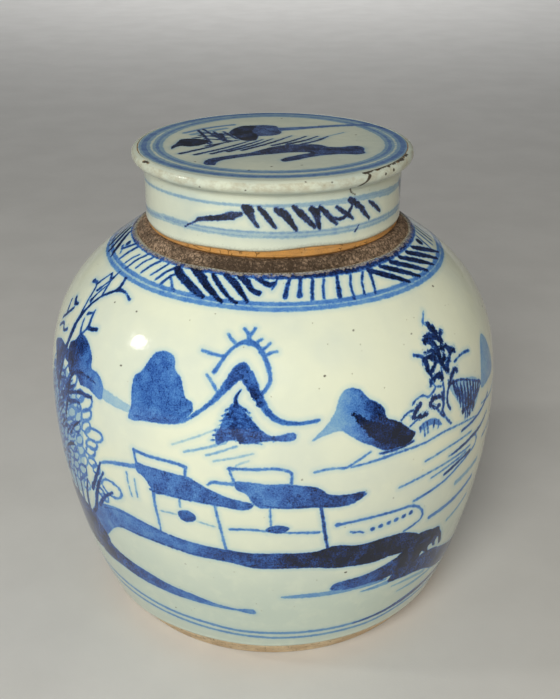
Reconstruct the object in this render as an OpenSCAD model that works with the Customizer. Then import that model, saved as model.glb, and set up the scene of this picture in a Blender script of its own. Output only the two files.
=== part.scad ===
// Ginger jar: a squat jar thrown in two sections, with a flat flanged lid that drops over its neck.
// Sizes are in millimetres. +Z is up, and the origin is the centre of the foot ring's underside.

/* [Jar] */
// Widest radius of the clay, at the belly
belly_r = 97; // [90:0.5:105]
// Height of the belly, where the lower and upper sections are luted together
belly_z = 98; // [90:1:105]
// Radius of the clay at the foot's underside
foot_r = 73.6; // [70:0.2:76]
// Height of the bare clay strip above the foot's underside
foot_bare_h = 8.5; // [7:0.1:10]
// Thickness of the clay at the belly
wall_t = 5.6; // [4:0.2:8]

/* [Ledge and neck] */
// Outer radius of the bare ledge that carries the lid
ledge_r = 56.7; // [56:0.1:60]
// Height of the ledge's outer edge
ledge_edge_z = 169.2; // [165:0.1:170]
// Height of the flat seat under the lid's rim
seat_z = 172.7; // [171:0.1:174]
// Outer radius of the neck
neck_r = 45.5; // [44:0.1:46]
// Thickness of the neck's wall
neck_t = 3.7; // [3:0.1:5]
// Height of the neck above the seat
neck_h = 23; // [18:0.5:23.5]

/* [Lid] */
// Overall height of the closed jar, over the lid's glaze
total_h = 203.7; // [203:0.1:206]
// Radius of the lid's flange, in clay
flange_r = 57; // [56:0.1:60]
// Outer radius of the lid's skirt, in clay, at its rim
skirt_r = 52.2; // [51.5:0.1:53]
// Thickness of the skirt at its rim
skirt_t = 3.8; // [3:0.1:4]
// Thickness of the lid's clay disc
disc_t = 4.4; // [3.5:0.1:4.6]
// Height of the bare strip round the skirt's rim
skirt_bare_h = 3; // [1:0.2:6]

/* [Glaze] */
// Thickness of each glaze coat
glaze_t = 0.6; // [0.5:0.05:0.8]

/* [Hidden] */
round_fn = 180;
curve_steps = 14;

// Foot ring and floor
foot_flare = 5.2;
foot_round = 0.8;
foot_ring_w = 10;
foot_recess_h = 6;
foot_taper = 2;
floor_z = 12;
base_glaze_gap = 1.5;

// Glaze stops this far below the mouth, and this far above the lid's inner rim
mouth_bare_h = 5;
lid_inner_bare_h = 4.5;
lip_round = 1.4;
seat_w = 7.5;

// Points on the wall's outline, as [radius, height]
foot_edge = [foot_r + foot_flare, foot_bare_h];
belly_out = [belly_r, belly_z];
belly_in = [belly_r - wall_t, belly_z];
ledge_edge = [ledge_r, ledge_edge_z];
seat_edge = [neck_r + seat_w, seat_z];
neck_in_r = neck_r - neck_t;
neck_top = seat_z + neck_h;
throat_z = seat_z + 3.3;
inner_shoulder = [ledge_r - 4.2, ledge_edge_z - 5.4];

// Outlines of the jar's clay, each a cubic Bezier curve that runs upwards
foot_out = [[foot_r, foot_round], [foot_r + 1.5, 3.4], foot_edge + [-1.8, -3], foot_edge];
lower_out = [foot_edge, foot_edge + [6.6, 13], [belly_r, belly_z - 36], belly_out];
upper_out = [belly_out, [belly_r, belly_z + 40], [ledge_r + 28, ledge_edge_z - 17.2], ledge_edge];
ledge_out = [ledge_edge, ledge_edge + [-1.7, 1.1], seat_edge + [2, 0], seat_edge];
lower_in = [[foot_r - 15.6, floor_z], [foot_r + 3.4, floor_z], [belly_r - wall_t, belly_z - 48], belly_in];
upper_in = [belly_in, belly_in + [0, 36], inner_shoulder + [27, -14.8], inner_shoulder];
throat_in = [inner_shoulder, inner_shoulder + [-6, 3.3], [neck_in_r, throat_z - 7.5], [neck_in_r, throat_z]];

// Outlines of the lid's clay
lid_top = total_h - glaze_t;
ceiling_z = lid_top - disc_t;
skirt_in_r = skirt_r - skirt_t;
skirt_top = [skirt_r + 0.3, lid_top - 6];
flange_edge = [flange_r, lid_top - 1.5];
under_out = [skirt_top, skirt_top + [0, 2.5], flange_edge + [0, -3.3], flange_edge];
flange_out = [flange_edge, flange_edge + [0, 0.9], [flange_r - 0.6, lid_top], [flange_r - 2.2, lid_top]];
lid_corner_in = [[skirt_in_r, ceiling_z - 4.7], [skirt_in_r, ceiling_z - 1.5],
                 [skirt_in_r - 1.7, ceiling_z], [skirt_in_r - 4.9, ceiling_z]];

// A point on a cubic Bezier curve, and the direction in which the curve runs there
function bezier(p, t) =
    pow(1 - t, 3) * p[0] + 3 * pow(1 - t, 2) * t * p[1] + 3 * (1 - t) * pow(t, 2) * p[2] + pow(t, 3) * p[3];
function slope(p, t) =
    pow(1 - t, 2) * (p[1] - p[0]) + 2 * (1 - t) * t * (p[2] - p[1]) + pow(t, 2) * (p[3] - p[2]);

// The curve's points, each moved to its left by depth
function beside(p, depth) = [
    for (i = [0 : curve_steps])
        let (t = i / curve_steps, d = slope(p, t) / norm(slope(p, t)))
        bezier(p, t) + depth * [-d.y, d.x]
];
function backwards(points) = [for (i = [len(points) - 1 : -1 : 0]) points[i]];

// The glazed faces, moved out of the clay by depth
function jar_outside(depth) = concat(beside(lower_out, -depth), beside(upper_out, -depth));
function jar_inside(depth) = concat(
    [[0, floor_z + depth]],
    beside(lower_in, depth),
    beside(upper_in, depth),
    beside(throat_in, depth),
    [[neck_in_r - depth, neck_top - mouth_bare_h]]
);
function lid_outside(depth) = concat(
    [[skirt_r + depth, seat_z + skirt_bare_h]],
    beside(under_out, -depth),
    beside(flange_out, -depth),
    [[0, lid_top + depth]]
);
function lid_inside(depth) = concat(
    [[skirt_in_r - depth, seat_z + lid_inner_bare_h]],
    beside(lid_corner_in, depth),
    [[0, ceiling_z - depth]]
);

// A ring with the outline of points
module turned(points) {
    rotate_extrude($fn = round_fn)
        polygon(points);
}

// A coat of glaze between the clay's face and the same face moved out
module coat(face, surface) {
    turned(concat(face, backwards(surface)));
}

// Floor, foot ring and wall up to the belly
module jar_lower_wall() {
    ring_in = foot_r - foot_ring_w;
    color("tan")
        turned(concat(
            [
                [0, foot_recess_h],
                [ring_in - foot_taper, foot_recess_h],
                [ring_in, foot_round],
                [ring_in + foot_round, 0],
                [foot_r - foot_round, 0]
            ],
            beside(foot_out, 0),
            beside(lower_out, 0),
            backwards(beside(lower_in, 0)),
            [[0, floor_z]]
        ));
}

// Shoulder and bare ledge, up to the neck
module jar_shoulder_wall() {
    color("rosybrown")
        turned(concat(
            beside(upper_out, 0),
            beside(ledge_out, 0),
            [[neck_r, seat_z], [neck_r, throat_z]],
            backwards(beside(throat_in, 0)),
            backwards(beside(upper_in, 0))
        ));
}

// Neck that the lid drops over, with a rounded lip
module jar_neck_wall() {
    color("burlywood")
        turned([
            [neck_in_r, throat_z],
            [neck_r, throat_z],
            [neck_r, neck_top - lip_round],
            [neck_r - lip_round / 2, neck_top],
            [neck_in_r + lip_round / 2, neck_top],
            [neck_in_r, neck_top - lip_round]
        ]);
}

// Clear glaze over the painted outside, from the foot to the ledge
module jar_outer_glaze() {
    color("honeydew")
        coat(jar_outside(0), jar_outside(glaze_t));
}

// Glaze over the floor, the inside wall and the mouth
module jar_inner_glaze() {
    color("lightcyan")
        coat(jar_inside(0), jar_inside(glaze_t));
}

// Round patch of glaze inside the foot ring
module jar_base_glaze() {
    color("honeydew")
        translate([0, 0, foot_recess_h - glaze_t])
            cylinder(r = foot_r - foot_ring_w - foot_taper - base_glaze_gap, h = glaze_t, $fn = round_fn);
}

// Disc, flange and skirt of the lid
module lid_wall() {
    color("burlywood")
        turned(concat(
            [
                [skirt_in_r, seat_z],
                [skirt_r - foot_round, seat_z],
                [skirt_r, seat_z + foot_round]
            ],
            lid_outside(0),
            backwards(lid_inside(0))
        ));
}

// Clear glaze over the lid's painted top and skirt
module lid_outer_glaze() {
    color("honeydew")
        coat(lid_outside(0), lid_outside(glaze_t));
}

// Glaze over the lid's ceiling and the skirt's inside
module lid_inner_glaze() {
    color("lightcyan")
        coat(lid_inside(0), lid_inside(glaze_t));
}

jar_lower_wall();
jar_shoulder_wall();
jar_neck_wall();
jar_outer_glaze();
jar_inner_glaze();
jar_base_glaze();
lid_wall();
lid_outer_glaze();
lid_inner_glaze();
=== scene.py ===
import copy
import math

import bpy
import numpy as np
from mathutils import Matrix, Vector


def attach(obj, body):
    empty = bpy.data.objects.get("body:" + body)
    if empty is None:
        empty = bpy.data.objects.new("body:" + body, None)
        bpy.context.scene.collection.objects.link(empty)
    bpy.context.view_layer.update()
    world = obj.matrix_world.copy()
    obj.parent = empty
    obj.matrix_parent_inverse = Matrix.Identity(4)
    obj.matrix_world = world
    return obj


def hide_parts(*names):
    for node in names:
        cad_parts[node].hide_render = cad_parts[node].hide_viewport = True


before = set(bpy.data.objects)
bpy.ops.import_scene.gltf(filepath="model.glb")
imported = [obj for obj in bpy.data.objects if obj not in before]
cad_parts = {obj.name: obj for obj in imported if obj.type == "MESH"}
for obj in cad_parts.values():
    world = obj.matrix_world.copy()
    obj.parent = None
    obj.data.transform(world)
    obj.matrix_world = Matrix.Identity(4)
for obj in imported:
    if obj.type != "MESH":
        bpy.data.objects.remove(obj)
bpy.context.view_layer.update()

# Lengths in this file are in millimetres unless a name says otherwise. Azimuth is in degrees: 0 is the
# front, which faces -Y, and it grows towards +X.
MM = 0.001
DEGREE = math.pi / 180

# Spacing of the vertices on the painted faces, and how many rows of them share one on the hidden back
JAR_COLUMNS = 1016
JAR_ROW = 0.6
JAR_BACK_STEP = 10
LID_COLUMNS = 720
LID_ROW = 0.5
LID_BACK_STEP = 2
# Radius of the lid's flat top, whose coat is a disc of its own
TOP_RADIUS = 54.8

# Thickness of the glaze, as in the CAD
COAT = 0.6
# Steps along a brush stroke, along the edge of a wash and along a coat's profile
STROKE_STEP = 0.9
WASH_STEP = 1.2
PROFILE_STEP = 0.25
# How far outside a shape its distance is kept, and what stands for no paint and for no edge near
EDGE_REACH = 2.5
NO_PAINT = -4.0
FAR_FROM_EDGE = 9.0
PAINT_LAYERS = ("wash", "line", "dark")
MARK_LAYERS = ("bare", "stain")

rng = np.random.default_rng(8)


# ---------------------------------------------------------------------------------------------------
# Curves

def smooth_path(points, step=STROKE_STEP):
    """Close points on a smooth curve through the given ones. Any further columns, such as a width, follow."""
    points = np.asarray(points, float)
    gaps = np.linalg.norm(np.diff(points[:, :2], axis=0), axis=1)
    at = np.concatenate([[0.0], np.cumsum(np.maximum(gaps, 1e-6))])
    slope = np.gradient(points, at, axis=0)
    t = np.linspace(0, at[-1], max(2, math.ceil(at[-1] / step) + 1))
    i = np.clip(np.searchsorted(at, t, side="right") - 1, 0, len(at) - 2)
    gap = (at[i + 1] - at[i])[:, None]
    u = (t - at[i])[:, None] / gap
    return (
        (2 * u**3 - 3 * u**2 + 1) * points[i]
        + (u**3 - 2 * u**2 + u) * gap * slope[i]
        + (3 * u**2 - 2 * u**3) * points[i + 1]
        + (u**3 - u**2) * gap * slope[i + 1]
    )


def blur(values, sigma):
    """Values smoothed along a line, with its ends kept."""
    reach = max(1, int(3 * sigma))
    kernel = np.exp(-0.5 * (np.arange(-reach, reach + 1) / sigma) ** 2)
    padded = np.pad(values, reach, mode="reflect", reflect_type="odd")
    return np.convolve(padded, kernel / kernel.sum(), mode="valid")


def waves(count, most_turns, least_rise, seed):
    """A smooth random function of azimuth and height, about -1 to 1, that closes on itself round the jar.

    Its waves repeat up to most_turns times in a turn, and upwards after least_rise at the soonest."""
    draw = np.random.default_rng(seed)
    turns = draw.integers(0, most_turns + 1, count)
    rises = draw.uniform(-1, 1, count) / least_rise
    phases = draw.uniform(0, 2 * math.pi, count)

    def value(azimuth, height):
        total = 0
        for turn, rise, phase in zip(turns, rises, phases):
            total = total + np.sin(turn * azimuth * DEGREE + 2 * math.pi * rise * height + phase)
        return total / math.sqrt(count)

    return value


class Outline:
    """The turned profile of a coat's visible face, read from its CAD node."""

    def __init__(self, node, pivot, soften):
        """The profile is ordered round pivot, a (radius, height), and its facets are rounded by soften."""
        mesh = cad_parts[node].data
        spots = np.empty(len(mesh.vertices) * 3)
        mesh.vertices.foreach_get("co", spots)
        spots = spots.reshape(-1, 3) / MM
        chosen = set()
        for face in mesh.polygons:
            across = face.center.xy.normalized()
            from_pivot = Vector((face.center.xy.length / MM - pivot[0], face.center.z / MM - pivot[1]))
            if Vector((face.normal.xy.dot(across), face.normal.z)).dot(from_pivot) > 0:
                chosen.update(face.vertices)
        spots = spots[sorted(chosen)]
        rings = np.stack([np.hypot(spots[:, 0], spots[:, 1]), spots[:, 2]], 1)
        profile = np.unique(np.round(rings, 1), axis=0)
        turn = np.arctan2(profile[:, 1] - pivot[1], profile[:, 0] - pivot[0])
        profile = profile[np.argsort(turn)]
        apart = np.linalg.norm(np.diff(profile, axis=0), axis=1)
        profile = profile[np.concatenate([[True], apart > PROFILE_STEP])]
        # The coat's own edge shows as a first or last point that lies only a coat's thickness away
        edge_gap = COAT + 0.1
        if np.linalg.norm(profile[1] - profile[0]) < edge_gap:
            profile = profile[1:]
        if np.linalg.norm(profile[-1] - profile[-2]) < edge_gap:
            profile = profile[:-1]
        path = smooth_path(profile, PROFILE_STEP)
        path = np.stack([blur(column, soften / PROFILE_STEP) for column in path.T], 1)
        self.s = np.concatenate([[0.0], np.cumsum(np.linalg.norm(np.diff(path, axis=0), axis=1))])
        self.r, self.z = path[:, 0], path[:, 1]
        slope = np.gradient(path, self.s, axis=0)
        slope /= np.linalg.norm(slope, axis=1)[:, None]
        self.out_r, self.out_z = slope[:, 1], -slope[:, 0]
        self.length = self.s[-1]

    def radius(self, s):
        return np.interp(s, self.s, self.r)

    def height(self, s):
        """Below its first point the profile goes straight down."""
        return np.interp(s, self.s, self.z) + np.minimum(s, 0)

    def outward(self, s):
        return np.interp(s, self.s, self.out_r), np.interp(s, self.s, self.out_z)

    def along(self, z):
        """Distance along the profile at a height, as far as the profile only rises."""
        rise = slice(0, int(np.argmax(self.z > self.z.max() - 0.3)))
        return np.interp(z, self.z[rise], self.s[rise]) + np.minimum(z - self.z[0], 0)


# ---------------------------------------------------------------------------------------------------
# Painting

class Canvas:
    """A glazed face laid out flat, and what is painted on it.

    p is azimuth in degrees, or x on the lid's top. q is the distance along the profile, or y. Each layer
    keeps, at each vertex, how far it lies inside the paint's edge, and how dark the paint there is."""

    def __init__(self, p, q, k_at, to_q=None, turned=True):
        """k_at gives the millimetres in one unit of p at a q, and to_q gives the q of a height."""
        self.p, self.q, self.k_at, self.turned = p, q, k_at, turned
        self.to_q = to_q or (lambda height: height)
        self.k = k_at(q)
        self.edge = {name: np.full(p.shape, NO_PAINT) for name in PAINT_LAYERS + MARK_LAYERS}
        self.tone = {name: np.zeros(p.shape) for name in PAINT_LAYERS + MARK_LAYERS}
        self.rim = np.full(p.shape, FAR_FROM_EDGE)
        self.shift, self.rise = 0, 0

    def moved(self, shift, rise=0):
        """The same canvas for a brush that paints everything further round and higher."""
        moved = copy.copy(self)
        moved.shift, moved.rise = shift, rise
        return moved

    def around(self, degrees):
        """A difference of azimuths, brought to -180 to 180."""
        return (degrees + 180) % 360 - 180 if self.turned else degrees

    def window(self, low, high, reach):
        """The vertices that a shape between these corners can touch."""
        if not self.turned:
            return np.ix_(range(self.p.shape[0]), range(self.p.shape[1]))
        middle_row = self.q[:, 0]
        above = middle_row > low[1] - reach - EDGE_REACH
        below = middle_row < high[1] + reach + EDGE_REACH
        rows = np.flatnonzero(above & below)
        if not len(rows):
            return None
        columns = self.p.shape[1]
        step = 360 / columns
        side = reach / self.k[rows].min()
        first = math.floor((low[0] - side + 180) / step)
        last = math.ceil((high[0] + side + 180) / step)
        return np.ix_(rows, np.arange(first, min(last, first + columns - 1) + 1) % columns)

    def lay(self, layer, pick, edge, tone):
        """Adds a shape to a layer. Where two shapes overlap, the darker shows."""
        old_edge, old_tone = self.edge[layer][pick], self.tone[layer][pick]
        both = (edge > 0) & (old_edge > 0)
        nearer = edge > old_edge
        self.tone[layer][pick] = np.where(both, np.maximum(old_tone, tone), np.where(nearer, tone, old_tone))
        self.edge[layer][pick] = np.maximum(old_edge, edge)

    def on_paper(self, points):
        """Points at (p, height) as (p, q), with the brush's shift and rise."""
        points = np.asarray(points, float) + (self.shift, self.rise)
        points[:, 1] = self.to_q(points[:, 1])
        return points

    def stroke(self, points, width, tone=0.8, layer="line", unsteady=0.07):
        """A brush stroke through the points. width is one number, or one for each point."""
        points = self.on_paper(points)
        middle = self.k_at(points[:, 1].mean())
        widths = np.broadcast_to(np.asarray(width, float), (len(points),))
        start = (points[:, 0].min() + points[:, 0].max()) / 2
        flat = np.stack([(points[:, 0] - start) * middle, points[:, 1], widths], 1)
        path = smooth_path(flat)
        path[:, 2] *= 1 + unsteady * rng.standard_normal(len(path))
        path[:, 0] = path[:, 0] / middle + start
        self.trace(path, tone, layer)

    def trace(self, path, tone, layer):
        """Paints along close points, each (p, q, width)."""
        for a, b in zip(path[:-1], path[1:]):
            pick = self.window(np.minimum(a, b), np.maximum(a, b), max(a[2], b[2]) / 2 + EDGE_REACH)
            if pick is None:
                continue
            k = self.k[pick]
            x, y = self.around(self.p[pick] - a[0]) * k, self.q[pick] - a[1]
            run_x, run_y = (b[0] - a[0]) * k, b[1] - a[1]
            t = np.clip((x * run_x + y * run_y) / (run_x**2 + run_y**2 + 1e-9), 0, 1)
            half = (a[2] + (b[2] - a[2]) * t) / 2
            self.lay(layer, pick, half - np.hypot(x - t * run_x, y - t * run_y), tone)

    def fill(self, points, tone=0.6, layer="wash", fade=None):
        """A filled shape. fade is (darkness, azimuth, azimuth): tone changes to that between the azimuths."""
        points = self.on_paper(points)
        start = (points[:, 0].min() + points[:, 0].max()) / 2
        flat = np.stack([(points[:, 0] - start) * self.k_at(points[:, 1]), points[:, 1]], 1)
        loop = smooth_path(np.vstack([flat[-2:], flat, flat[:3]]), WASH_STEP)
        begin = np.argmin(np.hypot(*(loop[: len(loop) // 3] - flat[0]).T))
        end = len(loop) - 1 - np.argmin(np.hypot(*(loop[::-1][: len(loop) // 3] - flat[0]).T))
        loop = loop[begin : end + 1]
        least = self.k_at(points[:, 1]).min()
        low = (start + loop[:, 0].min() / least, loop[:, 1].min())
        high = (start + loop[:, 0].max() / least, loop[:, 1].max())
        pick = self.window(low, high, EDGE_REACH)
        if pick is None:
            return
        x, y = self.around(self.p[pick] - start) * self.k[pick], self.q[pick]
        edge = signed_depth(x, y, loop)
        if fade:
            end_tone, first, last = fade
            share = np.clip(self.around(self.p[pick] - first - self.shift) / (last - first), 0, 1)
            tone = tone + (end_tone - tone) * share
        self.lay(layer, pick, edge, tone)

    def dab(self, p, height, width, tone=0.9, layer="line"):
        """One touch of the brush."""
        self.spot(p + self.shift, self.to_q(height + self.rise), width, layer, tone)

    def spot(self, p, q, width, layer, tone=1.0):
        """A round mark at a distance along the profile."""
        self.trace(np.array([(p, q, width), (p + 0.2, q, width)]), tone, layer)


def signed_depth(x, y, loop):
    """Distance of points inside a closed loop, negative outside."""
    nearest = np.full(x.shape, 1e9)
    inside = np.zeros(x.shape, bool)
    for (ax, ay), (bx, by) in zip(loop, np.roll(loop, -1, axis=0)):
        run_x, run_y = bx - ax, by - ay
        length = run_x**2 + run_y**2
        if length < 1e-12:
            continue
        t = np.clip(((x - ax) * run_x + (y - ay) * run_y) / length, 0, 1)
        nearest = np.minimum(nearest, np.hypot(x - ax - t * run_x, y - ay - t * run_y))
        crosses = (ay > y) != (by > y)
        inside ^= crosses & (x < ax + run_x * (y - ay) / (run_y if run_y else 1e-12))
    return np.where(inside, nearest, -nearest)


# The scene round the jar, as strokes at (azimuth, height)

def paint_far_hills(jar):
    """Two peaks joined by one line, and the pine hill below them."""
    jar.fill([(-34.8, 119.7), (-34.2, 124.7), (-34.6, 130.7), (-34.4, 135.7), (-32.7, 138), (-31.7, 141.3),
              (-30, 145), (-27.5, 146), (-24.6, 144.7), (-23.8, 141.3), (-21.9, 138.7), (-20.8, 135),
              (-20, 132.3), (-18.5, 131.3), (-18.1, 128.7), (-20, 124.3), (-24.6, 121.7), (-30, 120.3)], 0.66)
    jar.stroke([(-33, 121.4), (-28, 121.8), (-22, 124), (-20, 127)], 2.2, 0.72)
    jar.stroke([(-27, 121.5), (-20, 124.3), (-17.5, 127.3), (-15, 130.7), (-12, 135.5), (-10.4, 139)],
               [1.2, 1.8, 1.8, 1.9, 2.6, 3.6], 0.66)
    jar.stroke([(-10.4, 138), (-9, 141.5), (-7.4, 144), (-5.6, 140.5), (-4, 136.5), (-2.6, 133)],
               [3, 4.4, 4.2, 4.8, 4, 3.4], 0.74)
    jar.stroke([(-3, 134.5), (-1.3, 130), (1, 127), (5.4, 125.7), (10, 126.4)], [3.4, 3, 2.4, 1.8, 1.5], 0.7)
    jar.stroke([(-9.4, 139.4), (-7.6, 141.4), (-6.2, 139.8), (-4.4, 136), (-2.8, 132.4), (-0.8, 129.4)],
               [1, 2.2, 1.8, 2.2, 2, 1], 0.84, "dark", unsteady=0.4)
    jar.stroke([(-7.3, 137.2), (-8.4, 134.6), (-8.4, 132)], [0.9, 1.5, 2.2], 0.85)
    jar.fill([(-9.6, 132.3), (-7.3, 132.3), (-5.8, 129.3), (-4.6, 127.3), (-2.9, 124), (-0.8, 121.7),
              (5, 121.6), (5, 120.8), (-0.8, 119.3), (-3.3, 118.7), (-6.7, 118), (-8.3, 120), (-12.5, 116.7),
              (-12.9, 120.7), (-11.7, 124), (-11.3, 127), (-10, 130)], 0.72)
    for row in range(7):
        q = 119.4 + 1.9 * row
        reach = 5.6 - 0.5 * row
        jar.stroke([(-8.2 - reach, q - 1), (-8, q + 0.6), (-7.6 + 0.9 * reach, q - 1.2)], [0.9, 2, 0.9], 0.78,
                   unsteady=0.2)
    jar.stroke([(-8.2, 129), (-8.8, 125), (-8, 121.4), (-6.4, 119)], [1, 2.2, 2.6, 2], 0.86, "dark",
               unsteady=0.4)
    jar.stroke([(-4, 120.6), (0, 120.4)], 1.6, 0.8, "dark", unsteady=0.4)


def paint_sun(jar):
    arc = [(-14, 142.2), (-12.8, 145), (-11.6, 147.6), (-10, 149.8), (-8.2, 151.2), (-6.6, 151.6),
           (-4.6, 151), (-2.9, 149), (-1.7, 146.3), (-0.9, 143), (-0.8, 140), (-1.7, 137.6), (-2.7, 136)]
    jar.stroke(arc, [2.4, 1.8, 1.7, 1.7, 2.1, 2.5, 2.4, 2.2, 2, 1.8, 1.8, 1.6, 1.6], 0.66)
    rays = [
        [(-17.9, 148.1), (-15, 147.4), (-12.4, 147.1)],
        [(-15.7, 141), (-13.6, 137.6), (-12.4, 135.2)],
        [(-11.9, 153.4), (-10.9, 152.2), (-9.8, 151.2)],
        [(-7.7, 155.1), (-6.7, 153.8), (-6.3, 152)],
        [(-4.8, 155.3), (-5.9, 153.4), (-6.4, 152)],
        [(-4.4, 151.6), (-3.7, 152), (-2.9, 152.5)],
        [(-2.6, 149.6), (-1.6, 150.4), (-0.8, 151.3)],
        [(-1.6, 148), (-0.3, 148.7), (0.9, 149)],
    ]
    for ray in rays:
        jar.stroke(ray, 1.5, 0.6)


def paint_water(jar):
    """Slanting lines of water under the pine hill."""
    lines = [
        ([(-12, 123.3), (-17.5, 118.5), (-22.9, 114)], 1.0, 0.34),
        ([(-10.4, 118), (-15, 115), (-20, 112)], 1.2, 0.45),
        ([(-8, 117), (-11.5, 114.3), (-14.8, 112)], 1.1, 0.45),
        ([(-4.4, 114.3), (-9, 112), (-13.3, 110)], 1.0, 0.4),
        ([(-5.4, 111.3), (-8.1, 109.3)], 1.0, 0.3),
        ([(30.8, 122.2), (33, 121), (36, 120.3)], 0.9, 0.4),
    ]
    for points, width, tone in lines:
        jar.stroke(points, width, tone)


def paint_left_house(jar):
    jar.stroke([(-33.1, 107.3), (-30, 106.7), (-25, 106.6), (-21, 106.3), (-19.6, 105.7)], 1.6, 0.66)
    jar.stroke([(-19.6, 105.7), (-19.8, 102), (-19.6, 99)], 1.5, 0.66)
    jar.stroke([(-33.1, 107.3), (-32.8, 104.5), (-32.2, 101)], [1.4, 1.3, 1.8], 0.66)
    jar.fill([(-32.9, 102), (-30, 102.2), (-21.7, 102), (-18.8, 101.7), (-17.1, 100.3), (-13.3, 97.3),
              (-10, 95.3), (-5, 93.3), (-4.2, 92.7), (-5, 91), (-7.5, 89.7), (-10, 90.3), (-13.3, 90.7),
              (-21.7, 91), (-24.6, 91.3), (-27.9, 90.7), (-29.2, 93.3), (-30.8, 96.7), (-32.5, 98)], 0.7)
    jar.stroke([(-31.5, 100.5), (-35, 99.3), (-38.3, 98), (-41.7, 96.3), (-44.6, 94)],
               [2.4, 2.2, 2, 1.8, 1.2], 0.62)
    jar.stroke([(-28.1, 91.3), (-28.1, 86.7), (-27.5, 76.7), (-27.3, 73)], [2, 1.7, 1.3, 1.2], 0.62)
    jar.stroke([(-13.1, 90.7), (-12.5, 84.7), (-11.7, 76.7), (-11, 69.5)], 1.4, 0.62)
    jar.stroke([(-29, 91.8), (-22, 91.6), (-14, 91.4), (-8, 90.8)], 1.3, 0.76)
    jar.stroke([(-21.5, 90.7), (-21.4, 87.3)], 1.2, 0.6)
    jar.fill([(-22.2, 84.6), (-20.5, 86.4), (-18.4, 85.8), (-17.6, 83.2), (-18.8, 81.2), (-21, 80.8),
              (-22.1, 82.4)], 0.72)
    jar.stroke([(-26.7, 83), (-22.5, 83.3)], 1.0, 0.4)
    jar.stroke([(-17.5, 82), (-13.3, 80.7)], 1.0, 0.4)
    jar.stroke([(-35.6, 96), (-35.3, 90.5), (-34.6, 85.3)], 1.1, 0.55)
    jar.stroke([(-33.3, 94), (-32.9, 85.7)], 1.1, 0.5)


def paint_right_house(jar):
    jar.stroke([(-9.8, 107.7), (-4, 107.9), (2.5, 107.7), (3.8, 106.6), (3.9, 104), (3.8, 101.3)], 1.5, 0.66)
    jar.stroke([(-9.6, 107.3), (-9.2, 104.8), (-8.5, 102)], 1.3, 0.66)
    jar.stroke([(-14.6, 99.7), (-13.6, 101), (-11, 101.2), (-8.4, 101.2)], [1.2, 1.6, 1.6, 1.6], 0.62)
    jar.fill([(-8.8, 102.3), (-5.8, 102.7), (-1.7, 102), (3.3, 102), (6.3, 101), (10, 99.3), (11.7, 96.7),
              (15.8, 95), (20.8, 94.3), (19.2, 91.3), (10, 91), (0, 91.3), (-3.3, 91.3), (-4.6, 93.3),
              (-5.8, 96.7), (-8.3, 99.3)], 0.66, fade=(0.82, 0, 18))
    jar.stroke([(-4.6, 93.6), (0, 91.8), (8, 91.6), (19, 92), (20.8, 93.6)], [1, 1.2, 1.8, 2, 1.2], 0.8)
    jar.stroke([(-0.8, 91.3), (-0.6, 83.3)], 1.2, 0.6)
    jar.stroke([(10.4, 91), (11, 84.7), (11.7, 76.7), (12.5, 70)], 1.6, 0.8)
    jar.stroke([(-10, 80.3), (-5, 81), (-0.8, 80.3), (3.3, 79.7), (10.2, 78.8)], 1.4, 0.62)
    jar.fill([(-2.2, 80.6), (-0.6, 83), (2, 83.3), (3.6, 81.9), (3, 80.1), (0, 79.4)], 0.72)
    jar.dab(-1.2, 80.6, 2, 0.92, "dark")


def paint_pine_hill(jar):
    """A hill that is pale on its left flank and nearly black at its foot, with the shore below."""
    jar.fill([(8.1, 118.7), (9.6, 121.3), (12.1, 125.3), (13.8, 129.3), (14.8, 133.3), (16.3, 135.7),
              (17.9, 136.3), (20, 135.3), (21.7, 132), (24.2, 129.3), (25.6, 126.7), (26, 123.3),
              (28.3, 121.3), (30, 119.3), (32.1, 116), (33.5, 114), (32.1, 110.7), (28.3, 110), (25, 110.3),
              (22.9, 112.7), (20, 115.3), (17.1, 118.7), (15, 121.3), (11.7, 120.7)], 0.42,
             fade=(0.97, 14, 27))
    jar.stroke([(18, 127), (20.6, 122.6), (23.4, 119), (26.6, 116), (30.6, 113)], [2, 4, 6, 6.4, 3.4], 0.95,
               "dark", unsteady=0.2)
    jar.stroke([(8.8, 106.3), (12.7, 107), (15.8, 106.6), (18.6, 108.6), (21.7, 111.3)], 1.2, 0.6)
    jar.stroke([(17, 106.4), (21.7, 107), (30, 108), (36.7, 108), (42.5, 108.7), (48.8, 107.7), (54.2, 106.3),
                (59.6, 104.3)], [1, 1.3, 1.4, 1.2, 1.2, 1.1, 1, 0.8], 0.66)
    jar.stroke([(24, 109.6), (29, 109.6), (33, 110.6)], 1.4, 0.85)


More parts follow.
